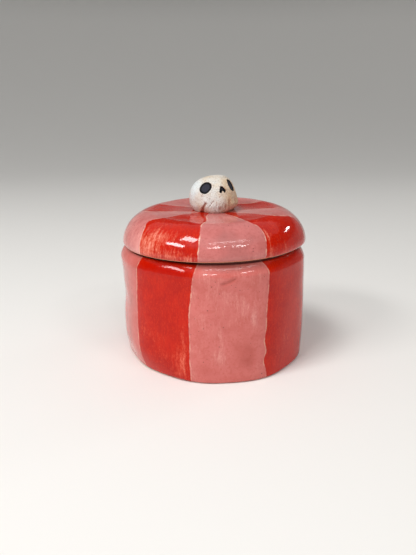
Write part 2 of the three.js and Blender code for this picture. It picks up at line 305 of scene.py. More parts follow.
class Recipe:
    """A node tree being written, for a material or for geometry."""

    def __init__(self, tree: bpy.types.NodeTree) -> None:
        """Start with an empty tree."""
        self.tree = tree
        tree.nodes.clear()

    def node(self, kind: str, feeds: dict | None = None, **settings: object) -> bpy.types.Node:
        """Add a node.

        Args:
            kind: its type.
            feeds: values or sockets for its inputs, by name or number.
            settings: its own properties.

        Returns:
            The node.
        """
        made = self.tree.nodes.new(kind)
        for name, value in settings.items():
            setattr(made, name, value)
        for name, value in (feeds or {}).items():
            if isinstance(value, bpy.types.NodeSocket):
                self.tree.links.new(value, made.inputs[name])
            else:
                made.inputs[name].default_value = value
        return made

    def sum(self, operation: str, *values: object, clamp: bool = False) -> bpy.types.NodeSocket:
        """Work out one number from others."""
        return self.node("ShaderNodeMath", dict(enumerate(values)),
                         operation=operation, use_clamp=clamp).outputs[0]

    def times(self, value: object, factor: object, plus: object = 0.0) -> bpy.types.NodeSocket:
        """Multiply a number and add to it."""
        return self.sum("MULTIPLY_ADD", value, factor, plus)

    def total(self, parts: tuple, weights: tuple[float, ...], start: object) -> bpy.types.NodeSocket:
        """Add numbers up.

        Args:
            parts: the numbers.
            weights: how much each of them counts.
            start: what they are added to.

        Returns:
            The sum.
        """
        for part, weight in zip(parts, weights):
            start = self.times(part, weight, start)
        return start

    def vector(self, operation: str, *values: object) -> bpy.types.NodeSocket:
        """Work out one vector from others."""
        return self.node("ShaderNodeVectorMath", dict(enumerate(values)), operation=operation).outputs[0]

    def step(self, value: object, low: float, high: float, start: object = 0.0,
             end: object = 1.0) -> bpy.types.NodeSocket:
        """Turn a number into a smooth step between start and end."""
        feeds = {0: value, 1: low, 2: high, 3: start, 4: end}
        return self.node("ShaderNodeMapRange", feeds, interpolation_type="SMOOTHSTEP").outputs[0]

    def noise(self, where: object, size: object, seed: object, detail: float = 2.0,
              rough: float = 0.5) -> bpy.types.NodeSocket:
        """Give a cloudy value about 0.5.

        Args:
            where: the place it is given for.
            size: how long its clouds are in where's own measure.
            seed: which clouds.
            detail: how many finer layers they have.
            rough: how strong those are.

        Returns:
            The value.
        """
        scale = 1.0 / size if isinstance(size, float) else self.sum("DIVIDE", 1.0, size)
        feeds = {"Vector": where, "W": seed, "Scale": scale, "Detail": detail, "Roughness": rough}
        return self.node("ShaderNodeTexNoise", feeds, noise_dimensions="4D").outputs[0]


class GeometryRecipe(Recipe):
    """A geometry tree whose sizes are named inputs."""

    def __init__(self, name: str, **sizes: float) -> None:
        """Make the tree.

        Args:
            name: its name.
            sizes: the usual value of each input, lengths in metres and counts as whole numbers.
        """
        super().__init__(bpy.data.node_groups.new(name, "GeometryNodeTree"))
        sides = self.tree.interface
        sides.new_socket("Geometry", in_out="INPUT", socket_type="NodeSocketGeometry")
        for title, value in sizes.items():
            kind = "NodeSocketInt" if isinstance(value, int) else "NodeSocketFloat"
            sides.new_socket(title, in_out="INPUT", socket_type=kind).default_value = value
        sides.new_socket("Material", in_out="INPUT", socket_type="NodeSocketMaterial")
        sides.new_socket("Geometry", in_out="OUTPUT", socket_type="NodeSocketGeometry")
        self.given = self.node("NodeGroupInput").outputs

    def push(self, geometry: bpy.types.NodeSocket, way: bpy.types.NodeSocket) -> None:
        """Push a geometry out and end the tree with real instances and the material.

        Args:
            geometry: what is pushed along its normals.
            way: how far, in metres.
        """
        normal = self.node("GeometryNodeInputNormal").outputs[0]
        offset = self.node("ShaderNodeVectorMath", {0: normal, "Scale": way}, operation="SCALE").outputs[0]
        moved = self.node("GeometryNodeSetPosition", {"Geometry": geometry, "Offset": offset}).outputs[0]
        real = self.node("GeometryNodeRealizeInstances", {0: moved}).outputs[0]
        dressed = self.node("GeometryNodeSetMaterial", {"Geometry": real, "Material": self.given["Material"]})
        self.node("NodeGroupOutput", {0: dressed.outputs[0]})

    def made(self, start: bpy.types.Object, material: bpy.types.Material, seed: float,
             **sizes: float) -> bpy.types.Object:
        """Run the tree on an object and keep the result as a plain mesh.

        Args:
            start: the object to work on, which is removed afterwards.
            material: the piece's material.
            seed: which random shape.
            sizes: the other inputs by name, lengths in millimetres and counts as whole numbers.

        Returns:
            A new object with the name of the first one.
        """
        name = start.name
        values = {title: value if isinstance(value, int) else value * MM for title, value in sizes.items()}
        values |= {"Material": material, "seed": seed}
        modifier = start.modifiers.new("recipe", "NODES")
        modifier.node_group = self.tree
        for item in self.tree.interface.items_tree:
            if item.in_out == "INPUT" and item.name in values:
                modifier[item.identifier] = values[item.name]
        depsgraph = bpy.context.evaluated_depsgraph_get()
        mesh = bpy.data.meshes.new_from_object(start.evaluated_get(depsgraph))
        start.modifiers.remove(modifier)
        bpy.data.objects.remove(start)
        mesh.name = name
        mesh.shade_smooth()
        return stand(name, mesh)


def hand_worked_surface() -> GeometryRecipe:
    """Write the tree that gives a surface the gentle swells that hands leave in clay.

    Returns:
        The tree, which pushes a mesh as far as it is marked give.
    """
    recipe = GeometryRecipe("hand_worked_surface", swell=0.0001, swell_size=0.015, ripple=0.00003,
                            ripple_size=0.005, seed=1.0)
    given = recipe.given
    place = recipe.node("GeometryNodeInputPosition").outputs[0]
    share = recipe.node("GeometryNodeInputNamedAttribute", {"Name": "give"}, data_type="FLOAT").outputs[0]
    reach = 0.0
    for wave, turn in (("swell", 0.0), ("ripple", 7.0)):
        cloud = recipe.noise(place, given[wave + "_size"], recipe.sum("ADD", given["seed"], turn), 1.0)
        reach = recipe.times(recipe.times(cloud, 2.0, -1.0), given[wave], reach)
    recipe.push(given["Geometry"], recipe.times(reach, share))
    return recipe


def pressed_ring() -> GeometryRecipe:
    """Write the tree that sweeps a clay profile round a circle and presses it with the fingers.

    Returns:
        The tree, for a loop from profile_loop.
    """
    recipe = GeometryRecipe("pressed_ring", radius=0.04, height=0.0, segments=240, press=0.0002,
                            presses=16, seed=1.0)
    given = recipe.given
    circle = recipe.node("GeometryNodeCurvePrimitiveCircle",
                         {"Resolution": given["segments"], "Radius": given["radius"]}).outputs[0]
    lift = recipe.node("ShaderNodeCombineXYZ", {2: given["height"]}).outputs[0]
    path = recipe.node("GeometryNodeSetPosition", {"Geometry": circle, "Offset": lift}).outputs[0]
    profile = recipe.node("GeometryNodeMeshToCurve", {"Mesh": given["Geometry"]}).outputs[0]
    swept = recipe.node("GeometryNodeCurveToMesh", {"Curve": path, "Profile Curve": profile}).outputs[0]
    place = recipe.node("GeometryNodeInputPosition").outputs[0]
    parts = recipe.node("ShaderNodeSeparateXYZ", {0: place}).outputs
    turn = recipe.times(recipe.sum("ARCTAN2", parts[1], parts[0]), given["presses"])
    wander = recipe.times(recipe.noise(place, PRESS_WANDER, given["seed"], 1.0), 5.0, turn)
    press = recipe.times(recipe.sum("SINE", wander), 0.5, -0.5)
    recipe.push(swept, recipe.times(press, given["press"]))
    return recipe


# ---------------------------------------------------------------- finishes


def linear(colour: Colour) -> tuple[float, float, float, float]:
    """Turn a colour of 0 to 255 into the numbers that a shader takes."""
    parts = [c / 255.0 for c in colour]
    return (*[p / 12.92 if p <= 0.04045 else ((p + 0.055) / 1.055) ** 2.4 for p in parts], 1.0)


class Paint(Recipe):
    """A material being written, with places in millimetres."""

    def __init__(self, name: str) -> None:
        """Make the material and find the place on the piece.

        Args:
            name: the material's name.
        """
        self.material = bpy.data.materials.new(name)
        self.material.use_nodes = True
        super().__init__(self.material.node_tree)
        spot = self.node("ShaderNodeTexCoord").outputs["Object"]
        self.spot = self.vector("MULTIPLY", spot, (1000.0, 1000.0, 1000.0))

    def mark(self, name: str, vector: bool = False) -> bpy.types.NodeSocket:
        """Read an attribute of the mesh."""
        return self.node("ShaderNodeAttribute", attribute_name=name).outputs["Vector" if vector else "Fac"]

    def cloud(self, size: float, seed: float, detail: float = 2.0,
              rough: float = 0.5) -> bpy.types.NodeSocket:
        """Give a cloudy value about 0.5 whose clouds are size millimetres long."""
        return self.noise(self.spot, size, seed, detail, rough)

    def mix(self, share: object, first: object, second: object) -> bpy.types.NodeSocket:
        """Mix two colours, each a socket or a colour of 0 to 255."""
        sides = [c if isinstance(c, bpy.types.NodeSocket) else linear(c) for c in (first, second)]
        return self.node("ShaderNodeMix", {0: share, 6: sides[0], 7: sides[1]}, data_type="RGBA").outputs[2]

    def wash(self, tone: object, colour: Colour, where: object, low: float, high: float, end: float,
             start: float = 0.0) -> bpy.types.NodeSocket:
        """Lay a colour over a tone, by a share that steps from start at low to end at high."""
        return self.mix(self.step(where, low, high, start, end), tone, colour)

    def specks(self, spacing: float, size: float, share: float, seed: float) -> bpy.types.NodeSocket:
        """Scatter round specks.

        Args:
            spacing: the mean distance between places for a speck, in mm.
            size: a speck's radius at most, in mm.
            share: the share of the places that have one.
            seed: which scatter.

        Returns:
            1 in a speck and 0 between them.
        """
        shifted = self.vector("ADD", self.spot, (seed * 13.7, seed * 5.3, seed * 9.1))
        wavy = self.node("ShaderNodeTexNoise", {"Vector": shifted, "Scale": 3.0, "Detail": 1.0}).outputs[1]
        bent = self.vector("MULTIPLY_ADD", wavy, (0.35, 0.35, 0.35), shifted)
        cells = self.node("ShaderNodeTexVoronoi", {"Vector": bent, "Scale": 1.0 / spacing}).outputs
        chance = self.node("ShaderNodeSeparateColor", {0: cells["Color"]}).outputs[0]
        reach = self.times(self.step(chance, 1.0 - share, 1.0), size / spacing)
        inside = self.sum("SUBTRACT", reach, cells["Distance"])
        return self.step(inside, -0.02 / spacing, 0.06 / spacing)

    def finish(self, colour: bpy.types.NodeSocket, roughness: object, height: bpy.types.NodeSocket,
               **settings: float) -> bpy.types.Material:
        """Close the material.

        Args:
            colour: its base colour.
            roughness: its roughness, a number or a socket.
            height: the fine relief, in millimetres.
            settings: other values of the shader, by the name of the socket with _ for a space.

        Returns:
            The material.
        """
        relief = self.node("ShaderNodeBump", {"Height": height, "Distance": MM, "Strength": 1.0})
        feeds = {"Base Color": colour, "Roughness": roughness, "Normal": relief.outputs[0]}
        feeds |= {name.replace("_", " "): value for name, value in settings.items()}
        shader = self.node("ShaderNodeBsdfPrincipled", feeds)
        self.node("ShaderNodeOutputMaterial", {"Surface": shader.outputs[0]})
        return self.material


@dataclass(frozen=True)
class Clay:
    """Pale speckled stoneware, bare or under clear glaze."""

    name: str
    base: Colour = (222, 208, 184)
    warm: Colour = (203, 178, 146)
    speck: Colour = (112, 74, 48)
    # The darker tone that marked places are drawn towards.
    darkening: Colour = (112, 62, 46)
    roughness: float = 0.7
    grain: float = 0.03
    coat: float = 0.0
    # Painted shade and warm bounce light: how far the right side, the lower part and the crown take the
    # warmer tone.
    painted_shade_side: float = 0.0
    painted_shade_low: float = 0.0
    painted_bounce_crown: float = 0.0

    def colour(self, paint: Paint) -> bpy.types.NodeSocket:
        """Mix the clay's colour: cloudy, warmer at one side, foot or crown, with specks of two sizes. The
        warmer side and foot are painted shade with warm bounce light in it, and the warmer crown is painted
        warm bounce light.

        Args:
            paint: the material being written.

        Returns:
            The colour.
        """
        spot = paint.node("ShaderNodeSeparateXYZ", {0: paint.spot}).outputs
        # Painted shade and bounce light: the warmer tone steps in towards +X, below 83 mm and above 86 mm.
        turned = paint.step(spot[0], -4.0, 11.0, 0.0, self.painted_shade_side)
        turned = paint.sum("MAXIMUM", turned, paint.step(spot[2], 74.0, 83.0, self.painted_shade_low, 0.0))
        turned = paint.sum("MAXIMUM", turned, paint.step(spot[2], 86.0, 89.5, 0.0, self.painted_bounce_crown))
        cloudy = paint.step(paint.cloud(6.0, 2.0, 4.0), 0.38, 0.72, 0.0, 0.5)
        tone = paint.mix(paint.sum("ADD", cloudy, turned, clamp=True), self.base, self.warm)
        tone = paint.wash(tone, self.speck, paint.cloud(0.5, 5.0, 3.0), 0.44, 0.75, 0.55)
        small, large = paint.specks(0.8, 0.2, 0.7, 1.0), paint.specks(2.2, 0.27, 0.4, 2.0)
        spots = paint.sum("MAXIMUM", paint.times(small, 0.5), paint.times(large, 0.75))
        return paint.mix(spots, tone, self.speck)

    def material(self) -> bpy.types.Material:
        """Write the material, which darkens where the mesh is marked stain.

        Returns:
            The material.
        """
        paint = Paint(self.name)
        uneven = paint.step(paint.cloud(0.8, 9.0, 3.0), 0.2, 0.6, 0.65, 1.0)
        depth = paint.sum("MULTIPLY", paint.mark("darkening"), uneven, clamp=True)
        tone = paint.mix(depth, self.colour(paint), self.darkening)
        grain = paint.cloud(0.35, 3.0, 4.0, 0.6)
        pores = paint.specks(1.3, 0.2, 0.5, 6.0)
        height = paint.times(pores, -1.5 * self.grain, paint.times(grain, self.grain))
        rough = paint.step(grain, 0.3, 0.7, self.roughness - 0.06, self.roughness + 0.06)
        return paint.finish(tone, rough, height, Coat_Weight=self.coat, Coat_Roughness=0.08,
                            Specular_IOR_Level=0.4)


@dataclass(frozen=True)
class StripedGlaze:
    """Red and pink glaze brushed on in stripes under a clear gloss, bare clay where marked."""

    name: str
    edge_line: float
    shine: float
    inside_roughness: float
    peel: float = 0.022
    red: Colour = (197, 25, 1)
    deep_red: Colour = (174, 12, 1)
    bright_red: Colour = (211, 48, 12)
    thin_red: Colour = (222, 104, 80)
    thinnest_red: Colour = (243, 158, 138)
    pink: Colour = (213, 117, 111)
    deep_pink: Colour = (198, 96, 86)
    pale_pink: Colour = (230, 156, 148)
    heavy_pink: Colour = (178, 78, 66)
    line: Colour = (236, 190, 166)
    raw: Colour = (222, 122, 84)
    speck: Colour = (96, 48, 42)
    # Painted shade: the near-black brown laid on the ring where lid and rim meet, so that the gap between
    # them reads dark.
    seat_gap_shade: Colour = (58, 24, 16)
    body: Clay = Clay("body_clay")
    # Hatching, streaks and mottling: squeeze along the brush, width, seed, detail, roughness.
    brush: tuple[tuple[float, ...], ...] = (
        (0.11, 0.5, 12.0, 1.5, 0.5), (0.2, 1.4, 1.0, 3.0, 0.5), (0.6, 0.6, 16.0, 4.0, 0.65))

    def red_paint(self, paint: Paint, strokes: list, thin: object) -> bpy.types.NodeSocket:
        """Mix the red: darker where it pooled and where painted shade is laid under the lid's edge, salmon
        where the brush ran dry.

        Args:
            paint: the material being written.
            strokes: the hatching, the streaks and the mottling.
            thin: how thin the glaze is.

        Returns:
            The colour.
        """
        hatch, _, mottle = strokes
        tone = paint.wash(self.red, self.deep_red, paint.cloud(8.0, 11.0, 3.0), 0.35, 0.7, 0.7)
        tone = paint.wash(tone, self.bright_red, mottle, 0.42, 0.7, 0.7)
        tone = paint.wash(tone, self.deep_red, hatch, 0.45, 0.68, 0.55)
        # Where the thin mark falls below zero the red is drawn deep: pooled glaze, and painted shade under
        # the lid's edge.
        tone = paint.wash(tone, self.deep_red, thin, -1.2, -0.4, 0.0, start=0.8)
        run = paint.total(strokes, (1.1, 1.7, 1.6), thin)
        tone = paint.wash(tone, self.thin_red, run, 2.4, 3.2, 0.85)
        return paint.wash(tone, self.thinnest_red, run, 2.95, 3.6, 0.85)

    def pink_paint(self, paint: Paint, strokes: list, thin: object) -> bpy.types.NodeSocket:
        """Mix the pink: cloudy and mottled, paler where it is thin, with a few brown specks.

        Args:
            paint: the material being written.
            strokes: the hatching, the streaks and the mottling.
            thin: how thin the glaze is.

        Returns:
            The colour.
        """
        tone = paint.wash(self.pink, self.deep_pink, paint.cloud(5.0, 21.0, 4.0), 0.36, 0.7, 0.45)
        tone = paint.wash(tone, self.deep_pink, paint.cloud(1.1, 27.0, 4.0, 0.6), 0.45, 0.7, 0.55)
        # Where the thin mark falls below zero the pink is drawn heavy: pooled glaze, with painted shade in
        # the jar's fold and on the lid's front shoulder.
        tone = paint.wash(tone, self.heavy_pink, thin, -1.2, -0.3, 0.0, start=0.9)
        run = paint.total(strokes, (0.7, 0.9, 1.1), thin)
        tone = paint.wash(tone, self.pale_pink, run, 1.1, 2.1, 0.9)
        return paint.mix(paint.times(paint.specks(1.8, 0.29, 0.5, 4.0), 0.7), tone, self.speck)

    def material(self) -> bpy.types.Material:
        """Write the material, from the marks stripe, strokes, thin, bare and give, and the mark of the ring
        where lid and rim meet, which takes a painted shade of the gap between them and a rough finish.

        Returns:
            The material.
        """
        paint = Paint(self.name)
        drift = paint.node("ShaderNodeTexNoise", {"Vector": paint.spot, "Scale": 0.12, "Detail": 1.0})
        along = paint.vector("MULTIPLY_ADD", drift.outputs[1], (2.0, 2.0, 0.0), paint.mark("strokes", True))
        strokes = [paint.noise(paint.vector("MULTIPLY", along, (1.0, 1.0, squeeze)), *values)
                   for squeeze, *values in self.brush]
        wobble = paint.cloud(1.6, 8.0)
        thin = paint.sum("ADD", paint.mark("thin"), paint.times(paint.cloud(7.0, 6.0), 0.8, -0.4))
        edge = paint.sum("ADD", paint.mark("stripe"), paint.times(wobble, 0.7, -0.35))
        tone = paint.mix(paint.step(edge, -0.14, 0.14), self.pink_paint(paint, strokes, thin),
                         self.red_paint(paint, strokes, thin))
        broken = paint.step(paint.cloud(3.2, 14.0, 3.0), 0.42, 0.6)
        beside = paint.step(paint.sum("ABSOLUTE", paint.sum("ADD", edge, 0.18)), 0.12, 0.4, 1.0, 0.0)
        tone = paint.mix(paint.times(paint.times(broken, beside), self.edge_line), tone, self.line)
        bare_mark, seat_gap_shade = paint.mark("bare"), paint.mark("seat_gap_shade")
        bare = paint.step(paint.sum("ADD", bare_mark, paint.times(wobble, 0.6, -0.3)), 0.45, 0.6)
        inside = paint.step(bare_mark, 0.9, 1.0)
        tone = paint.mix(inside, paint.mix(bare, tone, self.raw), self.body.colour(paint))
        # Painted shade: the ring where lid and rim meet is darkened so that the gap reads dark, and it is
        # left rough.
        tone = paint.wash(tone, self.seat_gap_shade, seat_gap_shade, 0.1, 0.8, 0.85)
        rough = paint.step(paint.sum("MAXIMUM", bare, seat_gap_shade), 0.0, 1.0, 0.07, 0.6)
        rough = paint.step(inside, 0.0, 1.0, rough, self.inside_roughness)
        return paint.finish(tone, rough, self.relief(paint, strokes[1], edge, bare),
                            Specular_IOR_Level=self.shine)

    def relief(self, paint: Paint, streak: object, edge: object, bare: object) -> bpy.types.NodeSocket:
        """Add up the fine relief.

        Args:
            paint: the material being written.
            streak: the brush's streaks.
            edge: the way to the nearest stripe's edge, above zero in the red.
            bare: 1 where the clay is bare.

        Returns:
            The height, in millimetres.
        """
        height = paint.times(paint.cloud(2.4, 31.0), 0.02)
        ripple = paint.times(paint.cloud(1.3, 33.0), paint.mark("give"))
        peel = paint.times(paint.cloud(0.75, 37.0), paint.step(edge, -0.2, 0.1, 1.0, 0.2))
        grain = paint.times(paint.cloud(0.4, 35.0, 3.0), bare)
        parts = (ripple, streak, paint.step(edge, -0.3, 0.3), peel, grain)
        return paint.total(parts, (0.03, 0.012, 0.02, self.peel, 0.03), height)


@dataclass(frozen=True)
class BlackGlaze:
    """The blue-black glaze that lies in the skull's sockets."""

    name: str
    middle: Colour = (50, 50, 61)
    # Painted shade: the near-black that the glaze takes towards the socket's edge.
    rim: Colour = (12, 12, 15)

    def material(self) -> bpy.types.Material:
        """Write the material, darker towards the rim of each pool, a painted shade of the socket's edge.

        Returns:
            The material.
        """
        paint = Paint(self.name)
        cloud = paint.cloud(0.9, 4.0, 3.0)
        inner = paint.times(paint.mark("rim"), -1.0, 0.65)
        tone = paint.mix(paint.sum("MULTIPLY_ADD", cloud, 0.5, inner, clamp=True), self.rim, self.middle)
        return paint.finish(tone, paint.step(cloud, 0.3, 0.7, 0.42, 0.52), paint.times(cloud, 0.03),
                            Specular_IOR_Level=0.06)


# ---------------------------------------------------------------- the painted stripes


@dataclass(frozen=True)
class Stripes:
    """Ten painted stripes: the azimuth of each edge at some stations along the surface.

    An edge that is one number wanders about it by a seeded random amount.
    """

    stations: tuple[float, ...]
    edges: tuple[float | tuple[float, ...], ...]
    seed: int
    wander: float = 0.5

    def table(self) -> Array:
        """Work out the wandering edges.

        Returns:
            Every edge's azimuth at every station.
        """
        random = np.random.default_rng(self.seed)
        rows = []
        for edge in self.edges:
            drift = random.normal(0.0, self.wander, len(self.stations))
            rows.append(edge if isinstance(edge, tuple) else edge + drift)
        return np.array(rows, float)

    def distance(self, azimuth: Array, along: Array, radius: Array) -> Array:
        """Measure the way to the nearest edge.

        Args:
            azimuth: of each point, in degrees.
            along: each point's station value.
            radius: each point's distance from the axis, in mm.

        Returns:
            Millimetres, above zero in a red stripe and below zero in a pink one.
        """
        nearest = np.full(azimuth.shape, 1e9)
        crossed = np.zeros(azimuth.shape, int)
        stations = np.array(self.stations)
        table = self.table()
        start = through(along, stations, table[0])
        turned = (azimuth - start) % 360.0
        for row in table:
            edge = through(along, stations, row)
            slope = np.abs(through(along + 0.5, stations, row) - through(along - 0.5, stations, row))
            away = np.abs(signed(azimuth - edge)) * np.pi / 180.0 * radius
            nearest = np.minimum(nearest, away / np.hypot(1.0, slope * np.pi / 180.0 * radius))
            crossed += (turned >= (edge - start) % 360.0).astype(int)
        return np.where(crossed % 2 == 1, nearest, -nearest)


@dataclass(frozen=True)
class Dab:
    """A place where the glaze is thin, or thick and darker where the amount is below zero, which a few dabs
    use for painted shade: its azimuth, its station and how far it reaches.
    """

    azimuth: float
    along: float
    wide: float
    tall: float
    amount: float

    def at(self, azimuth: Array, along: Array) -> Array:
        """Give how thin the glaze is here at each point."""
        across = signed(azimuth - self.azimuth)
        return self.amount * bell(across, self.wide) * bell(along - self.along, self.tall)


# ---------------------------------------------------------------- hand-made shape


@dataclass(frozen=True)
class Press:
    """A place of the wall that stands out or lies in: where it is, how far it reaches and by how much."""

    azimuth: float
    spread: float
    height: float
    tall: float
    out: float

    def at(self, azimuth: Array, z: Array) -> Array:
        """Give how far each point of the wall stands out here."""
        return self.out * bump(azimuth, self.azimuth, self.spread) * bell(z - self.height, self.tall)


@dataclass(frozen=True)
class HandShape:
    """How far the jar and lid depart from the round, in mm."""

    corners: tuple[float, ...] = (-50, -11, 32, 77, 103, 137, 171, 205, 238, 270)
    flat_depth: float = 0.55
    oval_pull: float = 0.9
    tuck: float = 1.5
    tuck_height: float = 13.0
    tuck_side: float = -40.0
    tuck_spread: float = 62.0
    waist: float = 0.5
    waist_height: float = 43.0
    waist_spread: float = 7.0
    side_bulge: float = 0.7
    brow: float = 0.8
    brow_azimuth: float = 8.0
    brow_spread: float = 36.0
    presses: tuple[Press, ...] = (
        Press(-82, 60, 31.5, 6.8, -0.9), Press(82, 60, 43, 5, 0.45), Press(82, 62, 24, 20, 0.6),
        Press(-64, 40, 1.5, 7.0, -0.8))
    flare: float = 1.0
    flare_azimuth: float = -85.0
    flare_spread: float = 70.0
    lid_bulge: float = 0.6
    lid_bulge_azimuth: float = 100.0
    lid_bulge_spread: float = 65.0
    lid_trim: float = 0.5

    def flat_sag(self, azimuth: Array) -> Array:
        """Lay the beaten flats between the corners.

        Args:
            azimuth: of each point.

        Returns:
            How far each point lies below the round.
        """
        ends = np.array([*self.corners, self.corners[0] + 360.0])
        turned = ends[0] + (azimuth - ends[0]) % 360.0
        i = np.clip(np.searchsorted(ends, turned, side="right") - 1, 0, len(self.corners) - 1)
        width = ends[i + 1] - ends[i]
        mean = 360.0 / len(self.corners)
        return self.flat_depth * (width / mean) ** 2 * np.sin(np.pi * (turned - ends[i]) / width) ** 2

    def oval(self, azimuth: Array) -> Array:
        """Give the pull that makes rim and lid oval."""
        return -self.oval_pull * np.sin(2.0 * np.radians(azimuth))

    def wall(self, azimuth: Array, z: Array, height: float) -> Array:
        """Shape the outside of the wall.

        Args:
            azimuth: of each point.
            z: each point's height.
            height: the wall's own height.

        Returns:
            How far each point stands off the wall's mean radius.
        """
        low = np.maximum(0.0, 1.0 - z / self.tuck_height)
        tuck = self.tuck * (0.2 + 1.5 * bump(azimuth, self.tuck_side, self.tuck_spread)) * low**2
        waist = self.waist * bell(z - self.waist_height, self.waist_spread)
        high = z / height
        side = bump(azimuth, self.flare_azimuth, self.flare_spread) * (
            self.side_bulge * (1.0 - low) + self.flare * high**3)
        brow = self.brow * bump(azimuth, self.brow_azimuth, self.brow_spread) * smoothstep(z, 50.0, 55.5)
        pressed = sum(press.at(azimuth, z) for press in self.presses)
        return self.oval(azimuth) * high + side + pressed - self.flat_sag(azimuth) - tuck - waist - brow

    def lid(self, azimuth: Array) -> Array:
        """Give how far the outside of the lid stands off its mean radius."""
        bulge = self.lid_bulge * bump(azimuth, self.lid_bulge_azimuth, self.lid_bulge_spread)
        return self.oval(azimuth) + bulge - 0.3 * self.flat_sag(azimuth) - self.lid_trim


def rings_of(profile: Array, columns: int) -> tuple[Array, Array, Array]:
    """Spread a profile round the axis.

    Args:
        profile: radius and height of each row.
        columns: how many azimuths.

    Returns:
        Azimuth, radius and height of each point, as rows by columns.
    """
    azimuth = np.broadcast_to(np.arange(columns) * 360.0 / columns, (len(profile), columns))
    radius = np.broadcast_to(profile[:, :1], azimuth.shape)
    height = np.broadcast_to(profile[:, 1:], azimuth.shape)
    return azimuth, radius, height


def placed(azimuth: Array, radius: Array, height: Array) -> Array:
    """Give the points at an azimuth, radius and height."""
    a = np.radians(azimuth)
    return np.stack([radius * np.sin(a), -radius * np.cos(a), height], -1)


def hand_over(piece: bpy.types.Object, body: Body, slot: Slot, *nodes: str) -> None:
    """Give a piece its place in the frame.

    Args:
        piece: the piece.
        body: what it rides on.
        slot: not used.
        nodes: the CAD nodes it stands for.
    """
    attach(piece, body.value)
    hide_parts(*nodes)
    log.info("%s: %d faces on %s, for %s", piece.name, len(piece.data.polygons), body.value, nodes)


# ---------------------------------------------------------------- the jar


